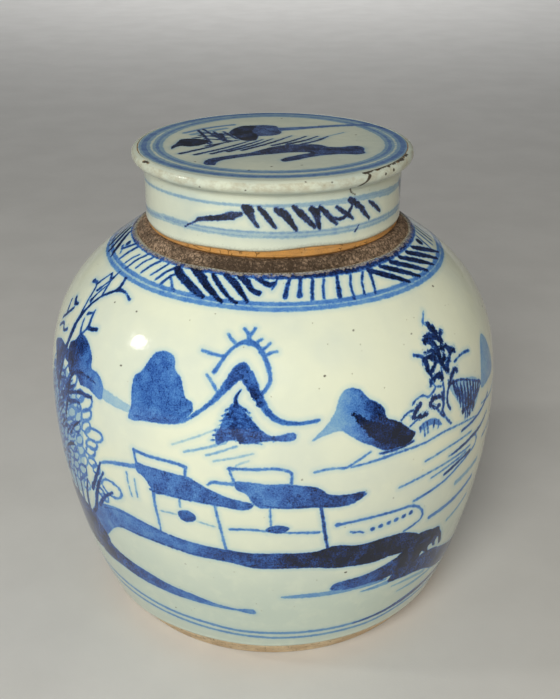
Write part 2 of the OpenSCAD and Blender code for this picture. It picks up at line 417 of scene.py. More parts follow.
def paint_ground(jar):
    """The dark shore that the houses stand on, and the islands in front of it."""
    upper = [(-49.2, 70.7), (-45.4, 73.3), (-41.7, 75), (-35, 75), (-30, 73.3), (-20, 71.2), (-10, 70),
             (-5, 69.3), (0, 69.6), (10, 69.6), (14.4, 71.2), (19, 69.4), (29, 69), (32.6, 68.2), (35.4, 66),
             (38, 63.4), (40, 60)]
    lower = [(38, 57.6), (33, 56.6), (30, 57.3), (25, 57), (20, 57.8), (13.8, 59), (10, 60.3), (0, 61),
             (-4.2, 61), (-10, 63), (-21.7, 64.3), (-25.8, 65.7), (-30, 65.3), (-35, 65.2), (-40, 65),
             (-42.5, 63.3), (-45, 59.7), (-47.5, 55.3), (-49.2, 52.7), (-52, 56), (-52, 64)]
    jar.fill(upper + lower, 0.62, fade=(0.97, -26, 14))
    jar.stroke([(-46, 71), (-41, 73.8), (-35, 74), (-22, 70.8), (-5, 68.6)], 1.4, 0.72)
    jar.stroke([(-41, 65.8), (-30, 66), (-21, 65), (-9, 63.6), (0, 61.8)], 1.4, 0.76)
    land = [(-52, 62), (-56, 64), (-62, 66), (-70, 64), (-76, 58), (-76, 45), (-66, 41.5), (-55, 40.3),
            (-49, 47.3), (-47.6, 52), (-49.6, 57)]
    jar.fill(land, 0.86)
    tongue = [(-56, 51), (-48.3, 50.7), (-45.4, 48.3), (-40, 46.3), (-35, 45), (-30, 43), (-20, 40),
              (-15, 37.7), (-10, 36.3), (-4.8, 35.7), (-4.6, 34.2), (-10, 34.7), (-20, 35.7), (-30, 36.5),
              (-40, 37.7), (-45, 38.7), (-55, 40.3)]
    jar.fill(tongue, 0.84, fade=(0.56, -48, -14))
    jar.dab(-5.4, 35, 1.2, 0.8)
    right_rock = [(32, 55), (33.6, 57.4), (36, 61), (38, 63), (41, 62.6), (44, 61), (46.6, 60), (47.4, 57.6),
                  (48.6, 55), (49.6, 51), (50.2, 47.4), (49.4, 47.2), (48.4, 50), (47.2, 53.4), (46.6, 52),
                  (47.2, 48.6), (46, 49.4), (45, 52), (43.6, 51), (44.4, 48), (42.4, 49), (41.4, 50.6),
                  (40.6, 48), (39, 46), (36, 46), (33.6, 48), (33.4, 51.6)]
    jar.fill(right_rock, 0.96)
    shore = [(33.6, 48), (37, 47.4), (41, 48.6), (47, 47.4), (50, 45), (54, 42), (60, 38.5), (68, 36),
             (78, 33.6), (88, 31.6), (94, 30.4), (88, 29.4), (78, 28), (68, 27.5), (60, 28), (54, 30),
             (50, 32.4), (46, 36), (41, 38.6), (36, 39.8), (31, 41.4)]
    jar.fill(shore, 0.86)
    jar.fill([(14, 46.8), (14.6, 49.4), (17, 50.4), (22, 51), (28, 53), (32.6, 54.6), (34, 52), (33.6, 46),
              (30, 44.4), (24, 44.8), (17, 45)], 0.72, fade=(0.9, 18, 33))
    jar.stroke([(2, 44.6), (7, 44.7), (14, 44.5), (22, 44.2), (30, 43.6)], [1.4, 2.6, 2.8, 2.4, 1.6], 0.46,
               "wash")
    jar.stroke([(23, 41), (27, 41), (31, 41.2)], [1, 2, 2.6], 0.42, "wash")
    jar.stroke([(36, 31.4), (42, 31.6), (50, 32)], [1, 2, 1.4], 0.36, "wash")
    jar.stroke([(33, 37), (39, 36.4), (46, 34.6)], [1, 1.8, 2], 0.3, "wash")


def paint_boat(jar):
    jar.stroke([(14.2, 81.3), (20, 81.6), (30, 81.2), (33.8, 80.7), (35.8, 79), (37.1, 76.7), (37.9, 74),
                (37.7, 72), (35.8, 70.3), (32.5, 68.7)], 1.5, 0.66)
    jar.dab(14.4, 81.3, 2.4, 0.7)
    jar.stroke([(17.7, 76.7), (18.9, 75.9), (19.7, 76), (21, 74.9)], 1.2, 0.7)
    for step in range(6):
        jar.dab(23.2 + 2.1 * step, 75.6 + 0.35 * step, 2.3, 0.72)


def paint_right_water(jar):
    """Long lines of water and sand to the right of the houses."""
    lines = [
        ([(36.7, 99.7), (45, 100.7), (55, 100)], 1.2, 0.6),
        ([(45.2, 96), (49, 96.3), (55, 97), (61.7, 98), (66, 100.3)], [1.2, 1.6, 2, 1.8, 1.2], 0.82),
        ([(55, 97), (58, 96), (58.8, 93.3), (58.3, 91.3), (55.8, 90), (50, 87.7), (45, 85.3), (40, 84),
          (34.2, 82.7)], 1.5, 0.66),
        ([(29.4, 92), (36.7, 93.3), (45, 93.7), (55, 93.3)], 1.2, 0.6),
        ([(39.2, 90.3), (45, 91.3), (53.3, 92)], 1.2, 0.6),
        ([(50, 104), (56, 104.4), (62, 106), (66, 108.6)], 1.5, 0.76),
        ([(44, 88.3), (50, 90), (55.4, 90.7)], 1.8, 0.85),
        ([(50, 79.3), (56, 79.8), (62, 80.3)], 2.6, 0.38),
        ([(40.8, 69.7), (50, 70.7), (60, 73.3)], 2.4, 0.6),
        ([(50, 60), (55, 61.6), (60, 64)], 2, 0.4),
        ([(61, 108), (68, 106.6), (76, 107.6)], 1.2, 0.6),
        ([(64, 90), (71, 91.4), (79, 91)], 1.4, 0.7),
    ]
    for points, width, tone in lines:
        jar.stroke(points, width, tone)


def paint_right_pine(jar):
    """A ragged pine on a thin bent trunk. A bush and grass are on its left, a hatched rock on its right."""
    def draw(points, width, tone=0.9, layer="line"):
        jar.stroke(points, width, tone, layer, unsteady=0.14)

    draw([(46.2, 152.8), (44.8, 151.2), (43.5, 149.6), (44.4, 148.4)], [0.7, 1.1, 1.4, 1.2], 0.66)
    draw([(43.6, 149.6), (42.8, 149)], 0.8, 0.5)
    needles = [
        ([(45, 148.6), (45.6, 147), (46.2, 145.2)], 2.6),
        ([(41.4, 144.4), (43, 145.4), (45, 144.6), (46.6, 143.2)], 2.6),
        ([(48.4, 144.9), (47, 143.8), (46.8, 141.8)], 2), ([(42.4, 143.4), (44, 142.6), (44.6, 140.2)], 2.4),
        ([(40.2, 141), (42, 141), (43, 139.8)], 1.7), ([(44.5, 141), (44.3, 138.4), (44.6, 135.6)], 2.6),
        ([(39.1, 138.8), (41, 139.2), (42.7, 137.8), (42, 136)], 2.3),
        ([(39.2, 138), (39.4, 136), (40, 133.2)], 2),
        ([(42, 136.4), (40.8, 134.4), (39.9, 133.2)], 1.6), ([(42.8, 137), (44.4, 136.2), (46, 136)], 2.2),
        ([(45.6, 140), (47.8, 139.8), (48.9, 138), (50.4, 137.4)], 2.3),
        ([(48.6, 138), (48, 135.8), (46.5, 134), (46.1, 131.6)], 2),
        ([(45.8, 139.8), (46, 137), (44.8, 134.8), (45.8, 131.8)], 1.9),
        ([(40.8, 131.4), (42.2, 131.9), (43.3, 130.6)], 2.7),
        ([(39.6, 131.4), (39.3, 129.4)], 1.3), ([(48.4, 130.8), (49.2, 130.3)], 2.2),
        ([(48, 130), (46.6, 128.8), (46, 127)], 1.7),
        ([(45.9, 127.6), (47.6, 126.2)], 1.6), ([(33.2, 120.4), (34, 122.4), (35.2, 124.4)], 2),
        ([(33.4, 119.8), (35, 119.6), (36.8, 119.6)], 2),
        ([(38.4, 122.4), (39.4, 124.2), (41, 124.4), (42.4, 123.2)], 2),
        ([(38.6, 122), (40, 120.6), (41.6, 121)], 1.5),
        ([(50.2, 112.4), (52, 112.6), (54, 113.4), (56, 112.2), (55.4, 110.4)], 1.8),
        ([(54, 111.6), (53.4, 109.4)], 1.5),
    ]
    for points, width in needles:
        draw(points, 1.2 * width, 0.9, "dark")
    twigs = [
        ([(36.4, 141.5), (38, 140.7), (39.4, 139.3)], 1.8),
        ([(49.3, 133.4), (52, 134.2), (54.2, 134.2), (57, 133.4)], 1.3),
        ([(43.9, 134), (43.6, 130), (43.4, 126), (43, 121), (42.3, 118), (43.6, 114), (45.3, 110.6)], 1.3),
        ([(42.6, 125), (42.7, 121), (42, 117.4)], 1.6), ([(40.4, 120), (41.7, 117), (43.2, 114.4)], 1.2),
        ([(46, 127), (44.6, 124), (44.2, 120), (45.2, 116.6)], 1.5),
        ([(39.8, 130.6), (40.8, 128.6), (42.6, 127.4)], 1.1),
        ([(33, 125), (34.4, 126.6), (36.6, 127), (38, 125.7), (39.6, 126.8), (41, 128.2)], 1.1),
        ([(29.6, 120.6), (31, 122.4), (33, 122.9), (34.6, 121.8)], 1.1),
        ([(32, 117.2), (33.4, 118.4), (35.2, 119.2)], 1.1),
    ]
    for points, width in twigs:
        draw(points, width, 0.82)
    jar.fill([(34.4, 114.8), (36, 116.8), (38.6, 117), (41, 115.2), (42, 112), (40.6, 112.8), (39, 114),
              (37.4, 114.4), (35.6, 113.8)], 0.6)
    for top, foot in (((35.8, 116.2), (36.4, 110.8)), ((37, 116.2), (37.3, 111.8)),
                      ((39.4, 115.6), (39, 112.4)), ((40.8, 114.6), (40.6, 112)), ((35, 115.2), (35, 113.2))):
        draw([top, foot], [1.6, 0.9], 0.8)
    jar.fill([(45.6, 126.4), (49, 126.2), (53, 125), (58, 121.6), (60, 118), (58.4, 113), (56, 109.6),
              (52.6, 109), (50.4, 113), (47.6, 119)], 0.36)
    for line, foot in enumerate((119, 115, 111.4, 108.6, 108, 108.6, 110, 111.4, 113)):
        head = (47 + 1.5 * line, 126.2 - 0.85 * line)
        draw([head, (47.8 + 1.3 * line, (head[1] + foot) / 2), (48.2 + 1.05 * line, foot)], [1.5, 2.3, 1],
             0.86)
    draw([(45.6, 126.2), (49.2, 126.2), (53, 124), (57, 121), (60.2, 117.8), (58, 114.6)],
         [1.4, 1.4, 1.4, 1.4, 1.8, 1.4], 0.84)
    jar.fill([(60.6, 115.4), (61.4, 122), (63, 128.6), (65, 133), (66.8, 134.4), (68.8, 132), (70.6, 127),
              (72, 121), (72.4, 116), (66, 114.4)], 0.46)


def paint_leaf(jar, p, q, length, width, lean, tone=0.62, brush=1.5):
    """A leaf in outline. Its base is at (p, q), its sizes are in mm, and lean is its angle above level."""
    k = jar.k_at(jar.to_q(q))
    run, rise = math.cos(lean * DEGREE), math.sin(lean * DEGREE)
    outline = [(0, 0), (0.25, 0.45), (0.65, 0.5), (0.95, 0.25), (1, 0), (0.9, -0.3), (0.6, -0.5),
               (0.25, -0.4), (0, 0)]
    points = [
        (p + (u * length * run - v * width * rise) / k, q + u * length * rise + v * width * run)
        for u, v in outline
    ]
    jar.stroke(points, brush, tone, unsteady=0.16)


def paint_left_trees(jar):
    """A bare tree over rocks, then a mass of scale-like leaves down to the shore."""
    branches = [
        ([(-66, 112.7), (-64.5, 122), (-63.8, 130), (-63, 137), (-62.6, 143), (-61.6, 147), (-60, 151),
          (-58.3, 153.5), (-55.3, 156), (-53.6, 157.4)], [2.8, 2.6, 2.5, 2.4, 2.2, 1.5, 1.3, 1.3, 1.4, 1.8]),
        ([(-53.8, 157), (-54, 159), (-54.7, 160.5)], [1.8, 1.6, 1.5]),
        ([(-53.8, 157.3), (-50, 157.5), (-46.4, 156.3)], [1.8, 1.1, 1.2]),
        ([(-62.6, 144), (-63.4, 149), (-64.6, 153.6), (-65.6, 154.8), (-68.8, 154.6)],
         [1.6, 1.3, 1.2, 1.3, 2]),
        ([(-65.4, 155), (-64.4, 157), (-62.9, 159.6)], [1.6, 1.1, 1]),
        ([(-63, 159.6), (-60.8, 158.2), (-60, 161.2)], [1, 1.6, 1]),
        ([(-60.2, 159), (-61.2, 156.4), (-62.6, 153.8)], [1.2, 1.1, 1.8]),
        ([(-60.2, 158), (-59.4, 156), (-58.7, 153.6)], 1.2),
        ([(-60.2, 156), (-61.4, 153), (-62, 150.4)], [0.9, 1.1, 1.8]),
        ([(-57, 148.8), (-56.6, 146), (-55.8, 143.6), (-52, 144.3)], [1, 1.6, 1.8, 1.6]),
        ([(-57, 148.2), (-59.4, 146.6)], [1, 1.6]),
        ([(-59.8, 144.6), (-58.8, 141), (-57.6, 139)], [1, 1.5, 2]),
        ([(-56, 143.8), (-57, 141), (-58.4, 139)], [1.6, 1.2, 1.2]),
        ([(-71.7, 146.9), (-69.6, 145.6), (-67.7, 146.3)], [1.6, 2, 1.4]),
        ([(-68.8, 144), (-71, 141), (-73.8, 137.3)], 1.5), ([(-73.8, 144.7), (-72, 140.7)], 1.3),
        ([(-74, 134), (-70.8, 136.7), (-69, 135), (-66.7, 136.7)], 1.4),
        ([(-70, 124.7), (-68, 118), (-66, 112.7)], 2),
        ([(-60, 114), (-56.7, 116.7), (-53, 119.3), (-47.5, 120.7)], 1.6),
    ]
    for points, width in branches:
        jar.stroke(points, 1.2 * np.asarray(width), 0.84)
    rock = [(-62, 134.3), (-59.6, 136.7), (-58.3, 140), (-55, 140), (-51.7, 138), (-49.6, 134.7),
            (-49, 131.6), (-46.7, 131.3), (-44.6, 129.6), (-43.4, 126.7), (-43.5, 122.3), (-49.2, 123.3),
            (-52.9, 122.9), (-55, 125.2), (-57.5, 122.7), (-61, 128)]
    jar.fill(rock, 0.84, fade=(0.56, -58, -44))
    jar.fill([(-74, 127), (-70, 131), (-64, 131.6), (-60, 131), (-60, 127.4), (-64, 126.6), (-66, 121),
              (-66, 114), (-68.4, 114.6), (-71, 123)], 0.8)
    jar.stroke([(-58.6, 138), (-58, 131), (-58.2, 124)], [1.4, 2.6, 2.4], 0.9, "dark")
    jar.stroke([(-57, 124.4), (-54.6, 126.8), (-50, 127.4), (-46.6, 127)], [1.8, 2.2, 1.8, 1], 0.86, "dark")
    jar.stroke([(-44, 125), (-40, 124), (-35, 123.2)], [5, 4.4, 3.2], 0.3, "wash")
    jar.fill([(-72, 116), (-70, 121), (-64, 124.4), (-58, 122.4), (-53.6, 119.6), (-51.6, 112), (-51, 100),
              (-51.6, 90), (-53, 80), (-56, 70), (-66, 68), (-70, 74), (-73.6, 78), (-71.6, 86), (-75, 92),
              (-72.6, 100), (-75.6, 107)], 0.46, fade=(0.28, -72, -54))
    for p, q, length, width, lean in (
        (-53.5, 112.5, 13, 5.4, 33), (-51.6, 109.2, 9, 4.2, 36), (-51.4, 104, 8, 4.2, 40),
        (-50.2, 103.4, 12.6, 5.2, 14),
        (-50, 98.6, 8.6, 4, 20), (-50.4, 94.6, 7.6, 4, 26), (-50, 90.4, 6.4, 3.8, 18),
        (-48, 87.4, 5.8, 3.6, 36),
        (-45.4, 83.6, 12.4, 7.4, 0), (-47.6, 79.8, 5.6, 3.8, -30), (-46.4, 76.4, 5, 3.4, 8),
    ):
        paint_leaf(jar, p, q, length, width, lean)
    for row in range(9):
        for column in range(6):
            p = -54.4 - 3.7 * column - 1.8 * (row % 2) + rng.uniform(-0.6, 0.6)
            q = 117 - 5.3 * row + rng.uniform(-1, 1)
            paint_leaf(jar, p, q, rng.uniform(7, 9.5), 4.2, rng.uniform(20, 60), rng.uniform(0.56, 0.74))
    for _ in range(44):
        p, q, reach = rng.uniform(-75, -54), rng.uniform(74, 120), rng.uniform(1.6, 3.6)
        lean = rng.uniform(0.6, 1.8)
        jar.stroke([(p - reach, q - lean * reach), (p, q + 0.6), (p + reach, q + lean * reach)],
                   [1, rng.uniform(1.4, 2.4), 1], rng.uniform(0.6, 0.86))
    jar.stroke([(-57.4, 124), (-58.4, 118), (-58.6, 113), (-60, 107), (-60.4, 101)], [1.6, 2.4, 2, 2.2, 1.6],
               0.88, "dark")
    stems = [
        [(-44.6, 94), (-46.7, 86.7), (-50, 77.3)],
        [(-43.8, 90), (-46.7, 82), (-48.3, 76), (-50, 68), (-52.9, 62)],
        [(-41.4, 82), (-45, 77), (-47.6, 71)], [(-52, 80), (-54, 70), (-55, 60)],
        [(-56, 80), (-57, 70), (-58, 60)],
        [(-60, 80), (-60.6, 70), (-61, 60)], [(-64, 82), (-64.6, 72), (-64.6, 60)],
    ]
    for stem in stems:
        jar.stroke(stem, [1.4, 2, 2.6] if len(stem) == 3 else [1.4, 2, 2.4, 2.6, 2.6], 0.82)


def paint_back(jar):
    """The far side repeats the painter's stock of hills, pines, boats and shore."""
    paint_pine_hill(jar.moved(92))
    paint_left_trees(jar.moved(-96))
    paint_right_pine(jar.moved(128, -4))
    paint_boat(jar.moved(88))
    paint_right_water(jar.moved(62))
    jar.fill([(84, 62), (96, 68), (112, 71), (130, 70), (150, 72), (170, 71), (190, 69), (205, 66), (214, 64),
              (220, 58), (230, 56), (240, 60), (262, 60), (288, 61), (288, 50), (262, 50), (240, 49),
              (222, 48), (206, 55), (190, 58), (170, 60), (150, 61), (130, 60), (112, 61), (96, 58)], 0.84)
    jar.fill([(86, 46), (100, 49), (118, 50), (134, 47), (146, 43), (132, 41), (114, 41), (98, 42)], 0.7,
             fade=(0.45, 100, 146))
    for offset in (0, 9, 20, 31):
        jar.stroke([(150 + offset, 96 + offset / 6), (157 + offset, 96.6), (166 + offset, 95.6)], 1.2, 0.6)
        jar.stroke([(176 + offset, 112), (184 + offset, 113 - offset / 9), (192 + offset, 112)], 1.0, 0.45)


def paint_bands(jar):
    """The lines round the foot and the shoulder."""
    def ring(heights, width, tone, layer="line"):
        jar.stroke(heights, width, tone, layer, unsteady=0.05)

    ring([(-180, 21), (-120, 23), (-75, 27), (-45, 26), (-30, 24), (-20, 23), (-10, 21.2), (0, 20.7),
          (10, 20.3), (20, 20), (30, 20.2), (40, 21.6), (60, 23.6), (110, 22), (150, 20), (179.9, 21)], 2,
         0.5)
    ring([(23, 19.6), (32, 20.1), (40, 21.5), (50, 23), (66, 24), (84, 23)], [1, 2, 3.2, 3.6, 3, 1], 0.82)
    ring([(-180, 17.5), (-120, 19), (-75, 22), (-45, 21.6), (-30, 20.5), (-20, 19.3), (-10, 18), (0, 17),
          (10, 16.7), (20, 16.5), (30, 16.3), (40, 18), (60, 18.6), (110, 17), (150, 17), (179.9, 17.5)], 2,
         0.48)
    ring([(-180, 168.6), (-120, 168.6), (-75, 168.5), (-50, 168.5), (-30, 168.6), (-10, 168.5), (0, 168.4),
          (10, 168.3), (20, 168.2), (40, 168.2), (60, 168.4), (90, 168.5), (140, 168.5), (179.9, 168.6)],
         [2.2, 2.2, 2.2, 2.2, 2.2, 2.4, 2.8, 3, 3.4, 3.4, 3, 2.6, 2.4, 2.2], 0.76)
    ring([(0, 168.5), (8, 168.3), (20, 168.2), (35, 168.2), (50, 168.3), (75, 168.6)],
         [0.6, 1.6, 2.6, 2.6, 2, 0.8], 0.9, "dark")
    border = [(-180, 162), (-75, 162.6), (-60, 162.5), (-40, 162.2), (-20, 161.9), (0, 161.6), (20, 161.3),
              (40, 161.1), (60, 160.9), (110, 161.2), (179.9, 162)]
    ring(border, 2.1, 0.6)
    ring([(p, height - 0.7) for p, height in border], 3.6, 0.3, "wash")
    ring([(-180, 160.6), (-75, 161.2), (-60, 161.1), (-40, 160.8), (-20, 160.6), (0, 160.2), (20, 160),
          (40, 159.7), (60, 159.6), (110, 159.8), (179.9, 160.6)], 2.1, 0.56)


def paint_border(jar):
    """Hatching on the shoulder: panels of thin upright strokes and of broad slanting ones by turns."""
    thin_left = [
        ([(-65, 168), (-66.5, 166), (-67.2, 163.5)], 2), ([(-59.5, 166.8), (-61, 165.5), (-62, 163.5)], 1.3),
        ([(-55.5, 167.8), (-58, 165.5), (-59, 162.8)], 1.6),
        ([(-51.5, 167.8), (-53.5, 166.2), (-54.5, 164)], 1.4),
        ([(-46.5, 168), (-49, 166), (-50.5, 163.7)], 1.6), ([(-42, 168), (-44, 166), (-45.7, 164)], 1.4),
        ([(-37.7, 167.8), (-40.5, 166), (-42.3, 163.6)], 1.6),
        ([(-36, 166.3), (-38, 165), (-39.3, 163)], 1.6),
        ([(-37.5, 165), (-36, 164.2), (-34.5, 163), (-33, 162.3)], 1.2),
        ([(-68.5, 168), (-71, 166.3), (-73, 165), (-75, 165.3)], 1.8), ([(-73, 165), (-70.5, 164)], 1.2),
    ]
    for points, width in thin_left:
        jar.stroke(points, width, 0.78)
    jar.dab(-73.6, 166.8, 3.2, 0.85)
    broad_front = [
        ([(-37.2, 167.6), (-34, 166.2), (-30, 164.9), (-26, 163.4), (-22.6, 162.3)],
         [3.2, 3.6, 3.6, 3.2, 2.2]),
        ([(-31, 168.7), (-26, 166.9), (-22, 164.7), (-18, 162.6), (-16, 161.4)], [2.8, 3.4, 3, 2.2, 1.8]),
        ([(-22, 167.8), (-18, 165.4), (-15, 163.4), (-11.5, 161.6)], [2.2, 2.3, 1.9, 1.5]),
        ([(-17, 168.1), (-13, 166.3), (-10, 163.9), (-8, 162.2)], [2.6, 3.2, 2.4, 1.6]),
        ([(-11.5, 168.1), (-9, 166.8), (-6.5, 164.8), (-4.8, 164.3)], [2.8, 3, 2.4, 2.6]),
        ([(-6, 167.9), (-3.5, 167.1), (-1, 166.3), (0.2, 166.9)], [1.6, 2.4, 2.4, 1.4]),
    ]
    for points, width in broad_front:
        jar.stroke(points, width, 0.93)
    upright = [
        ([(1.6, 168), (0.2, 166), (-0.4, 165.2)], [1.4, 1.3, 0.9]),
        ([(6, 167.8), (4.6, 165.5), (3.8, 163.2)], [1.7, 2, 2.2]),
        ([(9.7, 167.6), (9, 165.5), (8.5, 163.5)], [1.7, 1.7, 2.6]),
        ([(14, 167.2), (13, 165), (12.3, 162.5)], 1.6),
        ([(18, 167), (16.8, 165), (16, 162.5)], 1.4),
        ([(23.2, 167.2), (22.2, 165), (21.2, 162.3)], [1.5, 1.9, 2.6]),
        ([(28.5, 167), (26.8, 165), (25.6, 161)], [1.3, 1.3, 1.2]),
        ([(33.8, 167), (31, 164.5), (29.8, 161.8)], 1.3),
        ([(36.6, 167.4), (35.4, 164.6), (33.5, 161.2)], [1.8, 1.6, 1.2]),
    ]
    for points, width in upright:
        jar.stroke(points, width, 0.82)
    for step in range(6):
        top = 36.4 + 6.1 * step
        jar.stroke([(top, 167), (top + 4.8, 165), (top + 9, 163), (top + 12.6, 161)], [2.6, 3.2, 2.8, 1.6],
                   0.93)
    jar.dab(75.5, 166.4, 4, 0.95)
    for panel, first in enumerate((78, 112, 146, 180, 214, 248)):
        broad = panel % 2 == 1
        for step in range(6 if broad else 8):
            top = first + step * (5.6 if broad else 4.2) + rng.uniform(-0.5, 0.5)
            if broad:
                jar.stroke([(top, 167.6), (top + 4, 165.6), (top + 8, 163.4), (top + 10.4, 161.8)],
                           [2.4, 3, 2.6, 1.6], 0.92)
            else:
                jar.stroke([(top + 2, 167.7), (top + 0.6, 165.6), (top - 0.4, 163)], [1.3, 1.6, 1.5], 0.8)


def paint_jar_marks(jar):
    """Iron specks, and dark drips at the glaze's lower edge."""
    for p, q, width in ((-39.3, 137.3, 0.9), (-28.4, 27.3, 0.7), (-35.5, 25.3, 0.7), (17.5, 55.3, 1),
                        (6, 103.5, 0.7), (11.9, 141, 0.8), (-51.5, 154, 0.8), (-41.6, 154.2, 0.8),
                        (21.6, 153, 0.7), (57, 157, 1), (8.3, 9.2, 2), (-14, 112.5, 0.5), (28, 88, 0.5),
                        (-22, 58, 0.6), (38, 148, 0.5)):
        jar.dab(p, q, 0.75 * width, 1, "stain")
    for _ in range(70):
        jar.dab(rng.uniform(70, 290), rng.uniform(12, 160), rng.uniform(0.4, 0.9), 1, "stain")


# The lid

def paint_lid_skirt(lid):
    """Strokes at (azimuth, height) on the lid's skirt, below its flange."""
    lid.stroke([(-180, 193.4), (-65, 192.8), (-50, 193.3), (-25, 193.5), (-10, 193.7), (10, 193.7), (45, 193),
                (60, 191.8), (110, 192.4), (179.9, 193.4)], 1.4, 0.4)
    lid.stroke([(-180, 182.6), (-70, 180.9), (-50, 182.9), (-30, 183.4), (0, 183.3), (20, 182.9), (40, 182.5),
                (70, 182), (120, 182.4), (179.9, 182.6)], 1.2, 0.46)
    lid.stroke([(-180, 181.2), (-70, 180.2), (-50, 182.2), (-30, 182), (0, 181.7), (20, 181.5), (40, 181.1),
                (70, 180.8), (120, 181), (179.9, 181.2)], 1.1, 0.44)
    lid.stroke([(-180, 181.9), (-70, 180.6), (-50, 182.5), (-30, 182.6), (0, 182.4), (20, 182.2), (40, 181.8),
                (70, 181.4), (120, 181.7), (179.9, 181.9)], 3, 0.3, "wash")
    lid.stroke([(-5, 193.9), (10, 193.7), (45, 192.8), (60, 191.6), (90, 192)], [0.8, 1.8, 2.6, 3, 1], 0.34,
               "wash")
    strokes = [
        ([(-39.5, 181.7), (-37, 183.3), (-34, 184.7), (-32, 186), (-28, 187), (-22, 188), (-17, 189.3),
          (-13, 190.2)], [0.6, 0.9, 1.1, 1.8, 2.2, 2.7, 3.4, 2]),
        ([(-11.6, 193), (-10, 192.2), (-8.6, 189.5), (-7.4, 187.3), (-6, 185.6)], [2.6, 3.8, 2.8, 2.2, 1.6]),
        ([(-5.4, 192.8), (-3.4, 190.8), (-1, 187.8), (1, 185.3)], [2, 2.4, 2.4, 1.6]),
        ([(1.4, 192.2), (4.5, 190.6), (7, 187.6), (9.6, 184.1)], [2.6, 3.6, 2.8, 1.6]),
        ([(8.4, 193), (11, 190.8), (14, 187.8), (17.2, 184.8)], [2.2, 2.8, 2.6, 1.8]),
        ([(15.6, 192), (17.6, 190.2), (18.4, 187), (19.2, 184.1)], [2.6, 3.6, 2.6, 1.8]),
        ([(19.3, 192.2), (22, 189.7), (24.5, 187.2), (26.8, 184.9)], [2, 2.6, 2.4, 1.8]),
        ([(24, 188), (27, 186.8), (30, 186.7), (32.5, 188.4), (34, 190.4), (34.6, 192.6)],
         [1.6, 1.9, 1.8, 1.7, 1.6, 1.6]),
        ([(26.6, 191.5), (30, 189.2), (33, 187.1), (35.2, 185.5)], [1.6, 2.2, 2, 1.2]),
        ([(33.2, 193.4), (36, 191.5), (39.5, 189), (42, 186.2), (44.4, 184.1)], [2.6, 2.8, 2.5, 2.2, 1.4]),
        ([(43.8, 190.9), (47, 188.9), (50, 186.6), (52, 184.9)], [1.4, 2.1, 1.9, 1.2]),
        ([(38.2, 182.4), (36.4, 180.4)], [1, 1.3]),
    ]
    for points, width in strokes:
        lid.stroke(points, width, 0.95)
    for first, wide in ((72, 38), (150, 42), (228, 40)):
        for step in range(7):
            top = first + step * wide / 7
            lid.stroke([(top, 192.6), (top + 2.6, 190.2), (top + 5.4, 187.4), (top + 7.8, 184.6)],
                       [1.8, 2.6, 2.3, 1.4], 0.93)


def mark_lid_edge(lid, flange_q):
    """Chips along the flange, and a hairline crack through it. flange_q is where the flange turns over."""
    for p, q, width in ((-61.6, 0.2, 1.3), (-60.4, 0.5, 1.5), (-59.2, 0.7, 1.2), (47.5, -2, 0.9),
                        (53, -1.6, 1), (-28, -3.4, 0.6), (-10, -2.9, 0.5), (22, -1, 0.5), (12, 0.2, 0.6)):
        lid.spot(p, flange_q + q, width, "stain")
    broken = [(p, flange_q + 1.2 + rng.uniform(-0.55, 0.55), 0.3 + 2.2 * rng.uniform(0, 1) ** 2)
              for p in np.arange(37, 72, 0.45)]
    lid.trace(np.array(broken), 1, "stain")
    for p in (38, 44, 45, 58, 59, 66):
        lid.spot(p, flange_q + 0.7, rng.uniform(0.8, 1.5), "bare")
    lid.stroke([(39, 202.6), (37, 200.6), (34, 199.2), (32.6, 197.8), (33.4, 196.4), (35.6, 195)],
               [1.3, 0.8, 0.9, 0.5, 0.6, 0.4], 1, "stain")
    for p in (-62.4, -58.2, 96, 98, 131, 205, 207, 209, 262):
        lid.spot(p, flange_q + 0.5, rng.uniform(0.8, 1.4), "bare")


